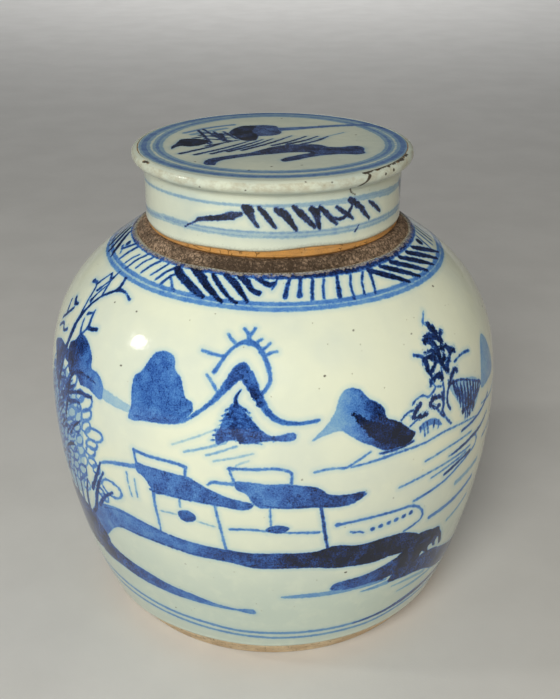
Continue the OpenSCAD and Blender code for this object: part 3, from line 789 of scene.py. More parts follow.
def paint_lid_top(top):
    """Strokes at (x, y), with y towards the back: two rings, an island with a tree, and a far shore."""
    def ring(front, right, back, left, width, tone, layer="line"):
        turn = np.linspace(0, 360, 49) * DEGREE
        ahead, aside = -np.cos(turn), np.sin(turn)
        radius = np.where(ahead < 0, front, back) * ahead**2 + np.where(aside > 0, right, left) * aside**2
        top.stroke(np.stack([radius * aside, radius * ahead], 1), width, tone, layer, unsteady=0.05)

    ring(42.6, 47.8, 49, 46.8, 4.2, 0.4, "wash")
    ring(42.8, 48, 49.2, 47, 2, 0.56)
    ring(49, 53, 53.2, 52.2, 4.8, 0.42, "wash")
    ring(49.2, 53.2, 53.4, 52.4, 2.8, 0.6)
    top.fill([(-10, 31), (-13, 30.5), (-16, 27), (-18, 22), (-18.5, 17), (-16, 12), (-14.5, 8), (-11, 4.5),
              (-7.5, 5), (-6, 10), (-6.5, 15), (-8.5, 20), (-8, 26), (-8, 31)], 0.95)
    top.fill([(-9, 31), (0, 31), (2, 29.5), (2.5, 25), (4, 19), (2, 14.5), (-4, 12.5), (-8, 12.5)], 0.76)
    top.stroke([(2, 24), (9, 25.5), (15, 27), (25, 29.6), (33, 31), (40, 31), (45, 28.5), (49, 23)],
               [6, 5, 4, 3.6, 3.6, 3.8, 3.4, 2], 0.66)
    for start, end in (((-36.5, -16), (-17, 5)), ((-30.5, -17.5), (-9, 5)), ((-24, -16), (-4, 7)),
                       ((-17.5, -12.5), (0, 8)), ((-12, -10.5), (8, 13)), ((0, -3), (14, 12)),
                       ((6, -1), (19, 12)), ((12, -1), (23, 11))):
        bend = ((start[0] + end[0]) / 2 + 0.6, (start[1] + end[1]) / 2 - 0.6)
        top.stroke([start, bend, end], [2.3, 1.9, 1.1], 0.88)
    top.stroke([(12, 2), (20, 9), (30, 18)], [0.8, 0.9, 1.1], 0.5)
    for start, end in (((-32, 23), (-25, 0.5)), ((-30, 24.5), (-20, 4)), ((-25, 20), (-19.5, 4)),
                       ((-29, 18), (-19, 14)), ((-31, 14), (-18, 9)), ((-28, 8), (-17, 5)),
                       ((-21, 20), (-15, 8)), ((-28, 2), (-24, -3)), ((-27, -4), (-14, 6)),
                       ((-33, 9), (-16, 19)), ((-22, 17), (-18.5, 2))):
        top.stroke([start, end], [1.8, 1.5], 0.9)
    top.fill([(-38, 7), (-36, 8), (-30, 7.5), (-27, 6), (-26, 2), (-28.5, -2), (-30, -3.5), (-34, -5),
              (-37, -4), (-39, -6), (-40.5, -9.5), (-41, -5), (-39.5, 0), (-38.8, 4)], 0.97)
    top.stroke([(-37.5, 17.5), (-34, 21), (-30, 25), (-24, 29), (-17, 32.5)], 2.4, 0.5, "wash")
    top.stroke([(-34, 15), (-27, 21), (-20, 26)], 2.6, 0.42, "wash")
    top.fill([(-22, -33), (-26, -32), (-26.5, -28), (-25, -24), (-21, -21), (-16, -18), (-10, -15), (-5, -10),
              (0, -5), (5, -2), (10, -1), (15, -1), (20, -2.5), (22, -5), (25, -6), (28, -6), (31, -4.5),
              (35, -4.5), (37, -8), (36.5, -13), (37, -15.5), (34, -17.5), (28, -17), (22, -18), (14, -22),
              (8, -26.5), (4, -28), (3, -26), (5, -22), (10, -18), (15, -14.5), (8, -14), (0, -16.5),
              (-8, -19), (-15, -23), (-20, -26.5), (-21.5, -30)], 0.84)
    for x, y in ((-0.5, -35), (11, -33), (-9, -40), (20, 30), (35, 14), (4, 44), (-30, -28)):
        top.dab(x, y, 0.7, 1, "stain")


# ---------------------------------------------------------------------------------------------------
# Meshes

def add_piece(name, points, faces, attributes, material, body, slot, nodes):
    """A closed mesh, which stands for the CAD nodes and rides on their body. Each group of faces is an array
    with one face in a row."""
    mesh = bpy.data.meshes.new(name)
    mesh.vertices.add(len(points))
    mesh.vertices.foreach_set("co", (points * MM).astype(np.float32).ravel())
    sizes = np.concatenate([np.full(len(group), group.shape[1]) for group in faces])
    mesh.loops.add(int(sizes.sum()))
    corners = np.concatenate([group.ravel() for group in faces])
    mesh.loops.foreach_set("vertex_index", corners.astype(np.int32))
    mesh.polygons.add(len(sizes))
    mesh.polygons.foreach_set("loop_start", np.concatenate([[0], np.cumsum(sizes)[:-1]]).astype(np.int32))
    mesh.update(calc_edges=True)
    mesh.validate()
    mesh.shade_smooth()
    mesh.set_sharp_from_angle(angle=50 * DEGREE)
    for attribute, values in attributes.items():
        layer = mesh.attributes.new(attribute, "FLOAT_VECTOR", "POINT")
        layer.data.foreach_set("vector", values.astype(np.float32).ravel())
    mesh.materials.append(material)
    piece = bpy.data.objects.new(name, mesh)
    bpy.context.scene.collection.objects.link(piece)
    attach(piece, body)
    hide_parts(*nodes)


def place(radius, azimuth, height):
    """Points on a turned face, in the row frame."""
    return np.stack([radius * np.sin(azimuth * DEGREE), -radius * np.cos(azimuth * DEGREE), height], -1)


def layer_values(canvas, hidden, columns=slice(None)):
    """The canvas's layers as the vector attributes that the glaze's shader reads, then blanks for as many
    hidden vertices."""
    def pack(layers, blank):
        shown = np.stack([layer[:, columns] for layer in layers], -1).reshape(-1, 3)
        return np.concatenate([shown, np.full((hidden, 3), blank)])

    return {
        "paint_edge": pack([canvas.edge[name] for name in PAINT_LAYERS], NO_PAINT),
        "paint_tone": pack([canvas.tone[name] for name in PAINT_LAYERS], 0.0),
        "mark_edge": pack([canvas.edge["bare"], canvas.edge["stain"], canvas.rim], NO_PAINT),
    }


def quads(grid, flip=False):
    """The faces between the neighbours in a grid of vertex numbers."""
    corners = [grid[:-1, :-1], grid[:-1, 1:], grid[1:, 1:], grid[1:, :-1]]
    return np.stack(corners[::-1] if flip else corners, -1).reshape(-1, 4)


def coat_sector(name, outer, inner, canvas, columns, back_step, **settings):
    """A part of a coat, from its first column to its last, closed with a back face and edges."""
    outer, inner = outer[:, columns], inner[::back_step, columns]
    rows, width = outer.shape[:2]
    backs = inner.shape[0]
    front = np.arange(rows * width).reshape(rows, width)
    back = rows * width + np.arange(backs * width).reshape(backs, width)
    faces = [
        quads(front),
        quads(back, flip=True),
        quads(np.stack([back[0], front[0]])),
        quads(np.stack([front[-1], back[-1]])),
    ]
    for column, turn in ((0, 1), (-1, -1)):
        side = []
        for k in range(backs - 1):
            run = front[k * back_step : (k + 1) * back_step + 1, column]
            side.append(np.concatenate([run, [back[k + 1, column], back[k, column]]])[::-turn])
        faces.append(np.array(side))
    points = np.concatenate([outer.reshape(-1, 3), inner.reshape(-1, 3)])
    add_piece(name, points, faces, layer_values(canvas, backs * width, columns), **settings)


def add_lid_top(canvas, height, **settings):
    """The flat top's glaze, a disc with a slight hollow, closed by its rim and its underside."""
    hollow_depth = 0.35
    rows, columns = canvas.p.shape
    inward = 1 - np.hypot(canvas.p, canvas.q) / TOP_RADIUS
    sag = -hollow_depth * np.clip(inward, 0, 1) ** 0.5 * np.clip(inward * 6, 0, 1)
    surface = np.stack([canvas.p, canvas.q, height + sag], -1)
    grid = np.arange(rows * columns).reshape(rows, columns)
    loop = np.concatenate([grid[0, :-1], grid[:-1, -1], grid[-1, :0:-1], grid[:0:-1, 0]])
    under = surface.reshape(-1, 3)[loop] - (0, 0, COAT)
    below = rows * columns + np.arange(len(loop))
    faces = [
        quads(grid),
        np.stack([np.roll(loop, -1), loop, below, np.roll(below, -1)], -1),
        below[::-1][None, :],
    ]
    points = np.concatenate([surface.reshape(-1, 3), under])
    add_piece("lid_top_glaze", points, faces, layer_values(canvas, len(loop)), **settings)


def coat_depth(distance):
    """How far the glaze stands off the clay at a distance from its edge: it ends in a rounded bead."""
    round_width, edge_share = 1.4, 0.12
    bead_height, bead_at, bead_width = 0.18, 1.6, 0.9
    inside = np.clip(distance / round_width, 0, 1)
    full = edge_share + (1 - edge_share) * np.sqrt(1 - (1 - inside) ** 2)
    return COAT * full + bead_height * np.exp(-((distance - bead_at) / bead_width) ** 2)


def whole_rows(length, row, back_step):
    """How many rows fill a length, so that the back's rows meet the first and the last."""
    return back_step * max(1, round(length / row / back_step)) + 1


def turned_grid(columns, rows, low, high):
    """Azimuths, and distances along the profile from low to high, for a whole turn."""
    azimuth = -180 + 360 / columns * np.arange(columns)
    share = np.linspace(0, 1, rows)[:, None]
    s = low(azimuth)[None, :] + share * (high(azimuth) - low(azimuth))[None, :]
    return np.broadcast_to(azimuth, s.shape).copy(), s


def sector_columns(columns, first_azimuth, last_azimuth):
    """Column numbers from one azimuth to another, wrapping past the back."""
    first = round((first_azimuth + 180) / 360 * columns)
    last = round((last_azimuth + 180) / 360 * columns)
    return np.arange(first, last + 1) % columns


# ---------------------------------------------------------------------------------------------------
# Materials

class Shader:
    """Builds one material's nodes."""

    def __init__(self, name):
        self.material = bpy.data.materials.new(name)
        self.material.use_nodes = True
        self.tree = self.material.node_tree
        self.surface = self.tree.nodes["Principled BSDF"]
        self.spot = self.add("ShaderNodeTexCoord").outputs["Object"]

    def add(self, kind, **settings):
        node = self.tree.nodes.new(kind)
        for key, value in settings.items():
            setattr(node, key, value)
        return node

    def feed(self, socket, value):
        if isinstance(value, bpy.types.NodeSocket):
            self.tree.links.new(value, socket)
        else:
            socket.default_value = value

    def math(self, operation, *values, clamp=False):
        node = self.add("ShaderNodeMath", operation=operation, use_clamp=clamp)
        for socket, value in zip(node.inputs, values):
            self.feed(socket, value)
        return node.outputs[0]

    def times(self, first, second):
        return self.math("MULTIPLY", first, second)

    def plus(self, first, second):
        return self.math("ADD", first, second)

    def along(self, axis):
        """The surface point's X, Y or Z, in metres."""
        parts = self.add("ShaderNodeSeparateXYZ")
        self.feed(parts.inputs[0], self.spot)
        return parts.outputs[axis]

    def noise(self, size_mm, detail=3.0, roughness=0.55, stretch=None):
        """Noise about 0.5, with features of about that size."""
        node = self.add("ShaderNodeTexNoise")
        self.feed(node.inputs["Scale"], 1 / (size_mm * MM))
        self.feed(node.inputs["Detail"], detail)
        self.feed(node.inputs["Roughness"], roughness)
        source = self.spot
        if stretch:
            pulled = self.add("ShaderNodeVectorMath", operation="MULTIPLY")
            self.feed(pulled.inputs[0], source)
            self.feed(pulled.inputs[1], stretch)
            source = pulled.outputs[0]
        self.feed(node.inputs["Vector"], source)
        return node.outputs["Fac"]

    def cells(self, size_mm, feature="F1", warp_mm=0.0):
        """Distance to the cells' points, or to their edges. warp_mm is how far their shapes are bent."""
        bend = self.add("ShaderNodeTexNoise")
        self.feed(bend.inputs["Vector"], self.spot)
        self.feed(bend.inputs["Scale"], 1 / (size_mm * MM))
        moved = self.add("ShaderNodeVectorMath", operation="MULTIPLY_ADD")
        self.feed(moved.inputs[0], bend.outputs["Color"])
        self.feed(moved.inputs[1], (warp_mm * MM,) * 3)
        self.feed(moved.inputs[2], self.spot)
        node = self.add("ShaderNodeTexVoronoi", feature=feature)
        self.feed(node.inputs["Vector"], moved.outputs[0])
        self.feed(node.inputs["Scale"], 1 / (size_mm * MM))
        return node.outputs["Distance"]

    def ease(self, value, low, high, to_low=0.0, to_high=1.0):
        """Smooth step from low to high."""
        node = self.add("ShaderNodeMapRange", interpolation_type="SMOOTHSTEP")
        for socket, number in zip(node.inputs, (value, low, high, to_low, to_high)):
            self.feed(socket, number)
        return node.outputs["Result"]

    def ramp(self, value, stops):
        """The colour at a value, from stops of (value, colour)."""
        node = self.add("ShaderNodeValToRGB")
        while len(node.color_ramp.elements) < len(stops):
            node.color_ramp.elements.new(0.5)
        for element, (at, colour) in zip(node.color_ramp.elements, stops):
            element.position = at
            element.color = (*colour, 1)
        self.feed(node.inputs["Fac"], value)
        return node.outputs["Color"]

    def mix(self, share, first, second, blend="MIX"):
        """The first colour with a share of the second in it."""
        node = self.add("ShaderNodeMix", data_type="RGBA", blend_type=blend)
        self.feed(node.inputs[0], share)
        for socket, value in ((node.inputs[6], first), (node.inputs[7], second)):
            self.feed(socket, (*value, 1) if isinstance(value, tuple) else value)
        return node.outputs[2]

    def split(self, attribute):
        """The three numbers of a vector attribute."""
        source = self.add("ShaderNodeAttribute", attribute_name=attribute)
        parts = self.add("ShaderNodeSeparateXYZ")
        self.feed(parts.inputs[0], source.outputs["Vector"])
        return parts.outputs

    def height_map(self, height, depth_mm, under=None):
        """The surface's normal with bumps of that depth, on top of those that are under it."""
        node = self.add("ShaderNodeBump")
        self.feed(node.inputs["Strength"], 1.0)
        self.feed(node.inputs["Distance"], depth_mm * MM)
        self.feed(node.inputs["Height"], height)
        if under:
            self.feed(node.inputs["Normal"], under)
        return node.outputs["Normal"]

    def finish(self, colour, roughness, normal):
        self.feed(self.surface.inputs["Base Color"], colour)
        self.feed(self.surface.inputs["Roughness"], roughness)
        self.feed(self.surface.inputs["Normal"], normal)
        return self.material


# How much of the light each strength of cobalt lets through, from none to the heaped dark of thick strokes
COBALT = [
    (0.0, (1, 1, 1)), (0.22, (0.58, 0.77, 0.98)), (0.42, (0.28, 0.51, 0.95)), (0.6, (0.105, 0.285, 0.88)),
    (0.74, (0.042, 0.135, 0.6)), (0.87, (0.015, 0.042, 0.23)), (1.0, (0.006, 0.011, 0.04)),
]
GLAZE_CREAM = (0.74, 0.775, 0.615)
GLAZE_GREY = (0.66, 0.71, 0.60)
# Greener glaze pooled towards the foot, also darker there as painted shade
GLAZE_GREEN_AND_SHADE = (0.53, 0.615, 0.535)
# The lid's glaze is greyer than the jar's, and darker, partly as painted shade on the lid's top
LID_CREAM_AND_SHADE = (0.66, 0.70, 0.57)
LID_GREY_AND_SHADE = (0.54, 0.60, 0.52)
BUFF = (0.55, 0.42, 0.25)
BISCUIT_BROWN = (0.135, 0.082, 0.05)
BISCUIT_ORANGE = (0.60, 0.30, 0.085)
IRON = (0.040, 0.022, 0.012)
PINHOLE_BROWN = (0.30, 0.26, 0.17)
GRIME_BROWN = (0.16, 0.12, 0.075)
HANDLED_BROWN = (0.36, 0.30, 0.19)
FLAKE_GREY = (0.40, 0.36, 0.28)
INSIDE_CREAM = (0.56, 0.58, 0.47)
INSIDE_GREY = (0.47, 0.47, 0.36)
BASE_SHADE = (0.5, 0.53, 0.44)

# Heights between which the glaze turns green and darker (green from pooled glaze, the darkening painted
# shade), the lid's flange begins and ends, and the jar's edge is crazed
GREEN_SHADE_FROM_M, GREEN_SHADE_TO_M = 0.115, 0.04
FLANGE_FOOT_M = (0.1985, 0.2012)
FLANGE_TOP_M = (0.2035, 0.2030)
SHOULDER_EDGE_M = (0.155, 0.163)
# Y between which the ledge's clay begins to darken towards the front
FRONT_DARKENING_EDGE_M = (-0.012, -0.034)


def scaled(colour, share):
    """A darker or a lighter colour of the same hue."""
    return tuple(min(1, share * c) for c in colour)


def cobalt_strength(s, wander):
    """How strong the cobalt is, 0 to 1: uneven in a wash, bled at its edges, and heaped up where thick."""
    edges, tones = s.split("paint_edge"), s.split("paint_tone")
    grain = s.ease(s.noise(0.55, 3, 0.75), 0.32, 0.68)
    pools = s.ease(s.noise(5.5, 5, 0.65), 0.32, 0.66)
    pigment, halo = 0.0, 0.0
    # For each layer: how uneven its tone is, how far its edge roams, and how much darker its edge dries
    for k, (swing, roam, dried) in enumerate(((0.22, 1.0, 0.06), (0.18, 1.0, 0.0), (0.12, 3.2, 0.0))):
        edge = s.plus(edges[k], s.times(wander, roam))
        inside = s.ease(edge, -0.4, 0.52)
        pooled = s.times(s.ease(edge, 0.9, 0.1), dried)
        uneven = s.times(s.plus(grain, pools), swing)
        strength = s.times(s.plus(tones[k], pooled), s.plus(uneven, 0.99 - swing))
        pigment = s.math("MAXIMUM", pigment, s.times(inside, strength))
        halo = s.math("MAXIMUM", halo, s.times(s.ease(edge, -2.3, 0.1), s.times(tones[k], 0.15)))
    pigment = s.math("MAXIMUM", pigment, halo, clamp=True)
    heaps = s.times(s.ease(s.noise(0.8, 3, 0.75), 0.5, 0.66), s.ease(pigment, 0.5, 0.85))
    return s.math("ADD", pigment, s.times(heaps, 0.2), clamp=True)


def painted_glaze(name, cream, grey, dull, flaking):
    """Clear glaze over cobalt painting, with pinholes, iron stains and a thin, crazed edge.

    The glaze has run down, and is thicker and greener towards the foot, and darker there as painted shade.
    dull is how far the cobalt is greyed and the glaze is grimy, and flaking how far its upper edge is crazed
    and stained, both 0 to 1."""
    s = Shader(name)
    height = s.along("Z")
    bare_edge, stain_edge, rim = s.split("mark_edge")
    bleed = s.math("SUBTRACT", s.noise(1.5, 4), 0.5)
    ragged = s.math("SUBTRACT", s.noise(0.45, 2), 0.5)
    wander = s.plus(s.times(bleed, 0.9), s.times(ragged, 0.6))

    # The glaze's own colour, darkened towards the foot as painted shade, times the cobalt's
    tint = s.mix(s.ease(s.noise(38, 3), 0.35, 0.68), cream, grey)
    # Towards the foot the glaze turns greener, and darker as painted shade
    run_down_and_shade = s.plus(height, s.times(s.noise(30, 3), 0.03))
    tint = s.mix(s.ease(run_down_and_shade, GREEN_SHADE_FROM_M, GREEN_SHADE_TO_M), tint, GLAZE_GREEN_AND_SHADE)
    tint = s.mix(s.ease(s.noise(6, 4), 0.45, 0.75, 0.0, 0.22), tint, scaled(cream, 1.05))
    pinholes = s.ease(s.cells(5.5), 0.055, 0.028)
    tint = s.mix(s.times(pinholes, 0.5), tint, PINHOLE_BROWN)
    cobalt = [(at, tuple(c + dull * (sum(tone) / 3 - c) for c in tone)) for at, tone in COBALT]
    colour = s.mix(1.0, tint, s.ramp(cobalt_strength(s, wander), cobalt), "MULTIPLY")

    # Grime in the surface, and most of it where the lid's flange is handled
    grime = s.ease(s.noise(1.4, 6, 0.75, stretch=(1.0, 1.0, 2.2)), 0.58, 0.74)
    colour = s.mix(s.times(grime, 0.9 * dull), colour, GRIME_BROWN)
    flange = s.times(s.ease(height, *FLANGE_FOOT_M), s.ease(height, *FLANGE_TOP_M))
    handled = s.times(flange, s.ease(s.noise(5, 6, 0.7, stretch=(1.0, 1.0, 1.6)), 0.36, 0.66))
    colour = s.mix(s.times(handled, 2.2 * dull), colour, HANDLED_BROWN)

    # The edge, where the glaze is thin
    thin = s.ease(s.plus(rim, s.times(bleed, 1.2)), 0.9, 0.1)
    colour = s.mix(s.times(thin, 0.85), colour, BUFF)
    upper = s.times(s.ease(height, *SHOULDER_EDGE_M), flaking)
    flakes = s.ease(s.plus(rim, s.times(bleed, 5.0)), 2.2, 1.2)
    colour = s.mix(s.times(flakes, s.times(upper, 0.7)), colour, FLAKE_GREY)
    crackle = s.ease(s.cells(1.5, "DISTANCE_TO_EDGE", warp_mm=1.2), 0.13, 0.03)
    crackle = s.times(crackle, s.ease(rim, 2.6, 1.0))
    colour = s.mix(s.times(crackle, s.plus(s.times(upper, 0.65), 0.15)), colour, IRON)

    # Chips down to the clay, and specks and cracks with iron in them
    bare = s.ease(s.plus(bare_edge, wander), -0.1, 0.2)
    colour = s.mix(bare, colour, s.mix(s.noise(0.8, 4), BUFF, BISCUIT_BROWN))
    stain = s.ease(s.plus(stain_edge, s.times(wander, 0.6)), -0.3, 0.15)
    colour = s.mix(s.times(stain, 0.93), colour, IRON)

    rough = s.plus(s.ease(s.noise(9, 4), 0.35, 0.75, 0.075, 0.17), s.times(bare, 0.6))
    rough = s.math("ADD", rough, s.times(thin, 0.25), clamp=True)
    skin = s.height_map(s.noise(5, 3), 0.10)
    skin = s.height_map(s.noise(1.1, 2), 0.022, skin)
    skin = s.height_map(s.math("SUBTRACT", 1.0, s.math("MAXIMUM", bare, pinholes)), 0.18, skin)
    return s.finish(colour, rough, skin)


def plain_glaze(name, tint, shade):
    """The same glaze with no painting, for the inside and the base."""
    s = Shader(name)
    colour = s.mix(s.ease(s.noise(22, 4), 0.3, 0.7), tint, shade)
    rings = s.noise(3.5, 2, 0.5, stretch=(0.06, 0.06, 1.0))
    colour = s.mix(s.ease(rings, 0.45, 0.7, 0, 0.25), colour, scaled(shade, 0.8))
    pinholes = s.ease(s.cells(6), 0.06, 0.03)
    colour = s.mix(s.times(pinholes, 0.6), colour, IRON)
    skin = s.height_map(rings, 0.35)
    skin = s.height_map(s.noise(1.2, 2), 0.02, skin)
    return s.finish(colour, s.ease(s.noise(8, 4), 0.3, 0.75, 0.1, 0.26), skin)


def bare_clay(name, light, dark, stain, stain_share, pits_mm, grit_mm=0.5, cracked=0.0):
    """Fired clay without glaze: grainy, pitted, with turning marks and patches of stain.

    Where cracked is 1, the face is finely crazed all over, and darkest at the front."""
    s = Shader(name)
    colour = s.mix(s.ease(s.noise(11, 5, 0.6), 0.36, 0.66), light, dark)
    colour = s.mix(s.ease(s.noise(4, 5, 0.7), 0.5, 0.72, 0, stain_share), colour, stain)
    # Where crazed, the clay turns darker towards the front
    toward_front = s.plus(s.along("Y"), s.times(s.noise(3.4, 5, 0.75), 0.05))
    colour = s.mix(s.ease(toward_front, *FRONT_DARKENING_EDGE_M, 0, 0.9 * cracked), colour, stain)
    turning = s.noise(0.9, 2, 0.5, stretch=(0.05, 0.05, 1.0))
    colour = s.mix(s.ease(turning, 0.46, 0.6, 0, 0.35 * (1 - cracked)), colour, scaled(dark, 0.6))

    grit = s.noise(grit_mm, 4, 0.75)
    dark_grit = s.ease(grit, 0.52 - 0.02 * cracked, 0.7 - 0.1 * cracked, 0, 0.55 + 0.35 * cracked)
    colour = s.mix(dark_grit, colour, scaled(dark, 0.35))
    pale_grit = s.ease(grit, 0.46, 0.32, 0, 0.35 + 0.2 * cracked)
    colour = s.mix(pale_grit, colour, scaled(light, 1.2))
    cracks = s.cells(3.4 - 1.6 * cracked, "DISTANCE_TO_EDGE", warp_mm=2.4 * cracked)
    cracks = s.ease(cracks, 0.05 + 0.13 * cracked, 0.0)
    cracks = s.times(cracks, s.ease(s.noise(3, 4), 0.5 - 0.2 * cracked, 0.6 - 0.1 * cracked))
    colour = s.mix(s.times(cracks, 0.8), colour, scaled(dark, 0.25))

    skin = s.height_map(turning, 0.16)
    skin = s.height_map(grit, pits_mm, skin)
    skin = s.height_map(s.math("SUBTRACT", 1.0, cracks), 0.25, skin)
    return s.finish(colour, s.ease(grit, 0.3, 0.8, 0.72, 0.95), skin)


# ---------------------------------------------------------------------------------------------------
# The jar's painted coat

jar_glaze = painted_glaze("painted_jar_glaze", GLAZE_CREAM, GLAZE_GREY, dull=0.0, flaking=1.0)
# The lid's colours are darker in part as painted shade on its top
lid_glaze = painted_glaze("painted_lid_glaze", LID_CREAM_AND_SHADE, LID_GREY_AND_SHADE, dull=0.25, flaking=0.0)

jar_outline = Outline("jar_outer_glaze", pivot=(30, 100), soften=3.0)
lumps = waves(count=9, most_turns=4, least_rise=120, seed=3)
ripples = waves(count=14, most_turns=3, least_rise=16, seed=4)
edge_drift = waves(count=8, most_turns=9, least_rise=500, seed=5)

jar_rows = whole_rows(jar_outline.length, JAR_ROW, JAR_BACK_STEP)
jar_p, jar_q = turned_grid(
    JAR_COLUMNS, jar_rows,
    lambda a: 0.9 + 0.5 * (1 + edge_drift(a, 0)),
    lambda a: jar_outline.length - 0.25 - 0.2 * (1 + edge_drift(2 * a, 60)),
)
jar_canvas = Canvas(jar_p, jar_q, lambda q: jar_outline.radius(q) * DEGREE, jar_outline.along)
for paint in (
    paint_far_hills, paint_sun, paint_water, paint_left_house, paint_right_house, paint_pine_hill,
    paint_ground, paint_boat, paint_right_water, paint_right_pine, paint_left_trees, paint_back,
    paint_bands, paint_border, paint_jar_marks,
):
    paint(jar_canvas)
jar_canvas.rim = np.minimum(jar_q - jar_q[0], jar_q[-1] - jar_q)

# The thrown wall's lumps and fine ripples fade out towards both of the coat's edges
jar_out_r, jar_out_z = jar_outline.outward(jar_q)
calm = np.clip((jar_outline.length - jar_q) / 25, 0, 1) * np.clip(jar_q / 12, 0, 1)
swell = calm * (0.28 * lumps(jar_p, jar_outline.height(jar_q)) + 0.05 * ripples(jar_p, jar_q))
depth = coat_depth(jar_canvas.rim) - COAT + swell
jar_outer = place(
    jar_outline.radius(jar_q) + depth * jar_out_r, jar_p, jar_outline.height(jar_q) + depth * jar_out_z
)
jar_inner = place(
    jar_outline.radius(jar_q) + (swell - COAT) * jar_out_r, jar_p,
    jar_outline.height(jar_q) + (swell - COAT) * jar_out_z,
)
for side, middle in (("front", 0), ("right", 90), ("back", 180), ("left", 270)):
    coat_sector(
        f"jar_glaze_{side}", jar_outer, jar_inner, jar_canvas,
        sector_columns(JAR_COLUMNS, middle - 45, middle + 45), JAR_BACK_STEP,
        material=jar_glaze, body="jar", slot="outer_glaze", nodes=["jar_outer_glaze"],
    )

# ---------------------------------------------------------------------------------------------------
# The lid's painted coat: its skirt and flange as one turned face, and its flat top as a disc

lid_outline = Outline("lid_outer_glaze", pivot=(20, 200), soften=0.3)
rim_s = lid_outline.s[lid_outline.r.argmax()]
past_rim = lid_outline.s > rim_s
turn_over = float(np.interp(-TOP_RADIUS, -lid_outline.r[past_rim], lid_outline.s[past_rim]))


def lid_bare_height(azimuth):
    """Height at which the lid's glaze begins: lowest at the left, highest a little right of the front."""
    front = 1.5 * np.exp(-((((azimuth - 17) + 180) % 360 - 180) / 17) ** 2)
    return 174.6 + front + 0.7 * np.cos((azimuth - 10) * DEGREE) + 0.22 * edge_drift(azimuth, 0)


lid_rows = whole_rows(turn_over, LID_ROW, LID_BACK_STEP)
lid_p, lid_q = turned_grid(
    LID_COLUMNS, lid_rows,
    lambda azimuth: lid_outline.along(lid_bare_height(azimuth)),
    lambda azimuth: np.full_like(azimuth, turn_over),
)
lid_canvas = Canvas(lid_p, lid_q, lambda q: lid_outline.radius(q) * DEGREE, lid_outline.along)
paint_lid_skirt(lid_canvas)
mark_lid_edge(lid_canvas, flange_q=rim_s + 2.2)
lid_canvas.rim = lid_q - lid_q[0]

lid_out_r, lid_out_z = lid_outline.outward(lid_q)
worn = np.clip(lid_canvas.edge["bare"], 0, 0.6)
depth = coat_depth(lid_canvas.rim) - COAT - 0.7 * worn + 0.05 * ripples(lid_p, lid_q)
depth *= np.clip((turn_over - lid_q) / 3, 0, 1)
lid_height = lid_outline.height(lid_q)
lid_outer = place(lid_outline.radius(lid_q) + depth * lid_out_r, lid_p, lid_height + depth * lid_out_z)
lid_inner = place(lid_outline.radius(lid_q) - COAT * lid_out_r, lid_p, lid_height - COAT * lid_out_z)
for side, middle in (("front", 0), ("back", 180)):
    coat_sector(
        f"lid_skirt_glaze_{side}", lid_outer, lid_inner, lid_canvas,
        sector_columns(LID_COLUMNS, middle - 90, middle + 90), LID_BACK_STEP,
        material=lid_glaze, body="lid", slot="outer_glaze", nodes=["lid_outer_glaze"],
    )


def disc_grid(count):
    """A square grid of points pressed into a unit disc, which keeps their spacing even."""
    line = np.linspace(-1, 1, count)
    a, b = np.meshgrid(line, line)
    wide = np.abs(a) > np.abs(b)
    radius = np.where(wide, a, b)
    turn = np.where(
        wide,
        math.pi / 4 * b / np.where(wide, a, 1),
        math.pi / 2 - math.pi / 4 * a / np.where(wide | (b == 0), 1, b),
    )
    return radius * np.cos(turn), radius * np.sin(turn)


disc_x, disc_y = disc_grid(LID_COLUMNS // 4 + 1)
top_canvas = Canvas(disc_x * TOP_RADIUS, disc_y * TOP_RADIUS, lambda q: np.ones_like(q), turned=False)
paint_lid_top(top_canvas)
add_lid_top(
    top_canvas, float(lid_outline.height(turn_over)),
    material=lid_glaze, body="lid", slot="outer_glaze", nodes=["lid_outer_glaze"],
)

# ---------------------------------------------------------------------------------------------------
# Finishes of the CAD pieces that show as they are

FINISHES = {
    # The foot's pale buff clay is made lighter still, as painted light on the foot
    "jar_lower_wall": ("buff_clay", bare_clay(
        "buff_foot_clay_and_painted_light", light=(0.80, 0.64, 0.42), dark=(0.62, 0.45, 0.27), stain=(0.55, 0.32, 0.14),
        stain_share=0.4, pits_mm=0.10,
    )),
    "jar_shoulder_wall": ("stained_clay", bare_clay(
        "stained_ledge_clay", light=(0.42, 0.295, 0.20), dark=(0.20, 0.135, 0.088),
        stain=(0.036, 0.023, 0.016), stain_share=0.6, pits_mm=0.3, grit_mm=1.1, cracked=1.0,
    )),
    "jar_neck_wall": ("stained_clay", bare_clay(
        "stained_neck_clay", light=(0.30, 0.19, 0.11), dark=(0.18, 0.11, 0.065), stain=BISCUIT_BROWN,
        stain_share=0.5, pits_mm=0.2,
    )),
    "lid_wall": ("orange_clay", bare_clay(
        "orange_lid_clay", light=BISCUIT_ORANGE, dark=(0.47, 0.24, 0.08), stain=BUFF, stain_share=0.25,
        pits_mm=0.12,
    )),
    "jar_inner_glaze": ("inner_glaze", plain_glaze("jar_inside_glaze", INSIDE_CREAM, INSIDE_GREY)),
    "lid_inner_glaze": ("inner_glaze", plain_glaze("lid_inside_glaze", INSIDE_CREAM, INSIDE_GREY)),
    "jar_base_glaze": ("outer_glaze", plain_glaze("base_glaze", GLAZE_GREY, BASE_SHADE)),
}
for node, (slot, material) in FINISHES.items():
    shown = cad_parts[node]
    shown.data.materials.clear()
    shown.data.materials.append(material)

# ---------------------------------------------------------------------------------------------------
# Floor, light and camera

# Height at which the lamps aim, and the camera's place, its angles in degrees and its lens
AIM_HEIGHT_M = 0.12
CAMERA_BACK_M = 0.4115
CAMERA_HEIGHT_M = 0.3080
CAMERA_PITCH_DOWN = 25.71
CAMERA_TURN_RIGHT = 0.42
LENS_MM = 52.38


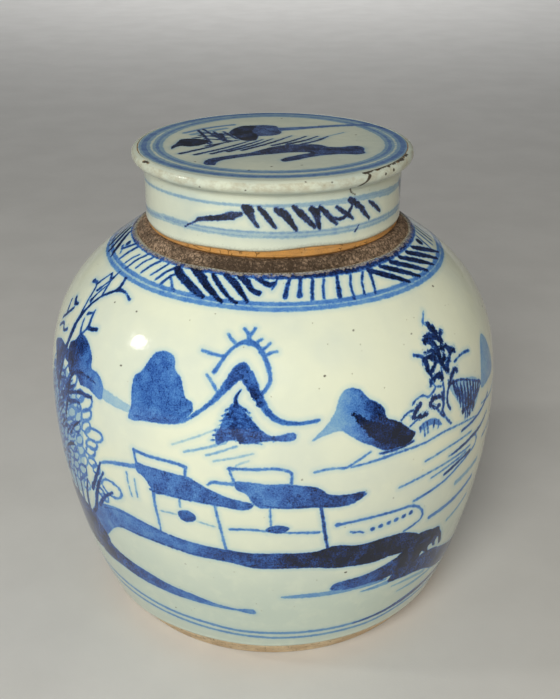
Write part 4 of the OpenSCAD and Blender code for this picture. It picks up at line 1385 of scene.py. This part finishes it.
def add_floor():
    """A plain pale sheet, wide enough to fill the view behind the jar, just below the foot."""
    reach_m, drop_m = 20, 0.0003
    corners = [(-reach_m, -reach_m), (reach_m, -reach_m), (reach_m, reach_m), (-reach_m, reach_m)]
    mesh = bpy.data.meshes.new("floor")
    mesh.from_pydata([(x, y, -drop_m) for x, y in corners], [], [(0, 1, 2, 3)])
    s = Shader("pale_floor")
    grey = s.mix(s.ease(s.noise(60, 4), 0.3, 0.7), (0.62, 0.612, 0.592), (0.66, 0.652, 0.632))
    rough = s.ease(s.noise(3, 3), 0.3, 0.7, 0.5, 0.62)
    mesh.materials.append(s.finish(grey, rough, s.height_map(s.noise(0.9, 3), 0.04)))
    floor = bpy.data.objects.new("floor", mesh)
    bpy.context.scene.collection.objects.link(floor)


def add_lamp(name, location, size_m, watts, shine):
    """A round lamp that shines down. One without shine lights the jar but is not seen in the glaze."""
    lamp = bpy.data.lights.new(name, "AREA")
    lamp.shape = "DISK"
    lamp.size = size_m
    lamp.energy = watts
    holder = bpy.data.objects.new(name, lamp)
    holder.location = location
    holder.visible_glossy = shine
    bpy.context.scene.collection.objects.link(holder)
    return holder


def add_backdrop_light(behind_m, above_m, size_m, watts, spread):
    """A lamp behind the jar that lights only the floor below it."""
    holder = add_lamp("backdrop", (0, behind_m, above_m), size_m, watts, shine=False)
    holder.data.spread = spread * DEGREE


def add_light(name, azimuth, elevation, distance_m, size_m, watts, colour, shine=True):
    """A lamp that faces the jar's middle."""
    level = math.cos(elevation * DEGREE)
    towards = Vector((
        level * math.sin(azimuth * DEGREE), -level * math.cos(azimuth * DEGREE), math.sin(elevation * DEGREE)
    ))
    holder = add_lamp(name, Vector((0, 0, AIM_HEIGHT_M)) + distance_m * towards, size_m, watts, shine)
    holder.data.color = colour
    holder.rotation_euler = (-towards).to_track_quat("-Z", "Y").to_euler()


def add_world(colour, strength):
    world = bpy.data.worlds.new("studio")
    world.use_nodes = True
    background = world.node_tree.nodes["Background"]
    background.inputs["Color"].default_value = (*colour, 1)
    background.inputs["Strength"].default_value = strength
    bpy.context.scene.world = world


def add_camera():
    lens = bpy.data.cameras.new("camera")
    lens.lens = LENS_MM
    lens.clip_start, lens.clip_end = 0.02, 20
    camera = bpy.data.objects.new("camera", lens)
    camera.location = (0, -CAMERA_BACK_M, CAMERA_HEIGHT_M)
    camera.rotation_euler = ((90 - CAMERA_PITCH_DOWN) * DEGREE, 0, -CAMERA_TURN_RIGHT * DEGREE)
    bpy.context.scene.collection.objects.link(camera)
    bpy.context.scene.camera = camera
    bpy.context.scene.view_settings.view_transform = "Standard"


add_floor()
add_light(
    "key", azimuth=-80, elevation=30, distance_m=1.2, size_m=0.12, watts=2.0, colour=(1.0, 0.98, 0.93),
)
add_light(
    "front", azimuth=-11, elevation=34, distance_m=1.5, size_m=0.9, watts=21.5, colour=(1.0, 0.985, 0.92),
    shine=False,
)
add_light(
    "right", azimuth=78, elevation=12, distance_m=1.3, size_m=0.6, watts=1.5, colour=(1.0, 0.76, 0.5),
    shine=False,
)
add_backdrop_light(behind_m=2.6, above_m=2.3, size_m=1.8, watts=18.5, spread=90)
add_world(colour=(0.9, 0.95, 1.0), strength=0.07)
add_camera()
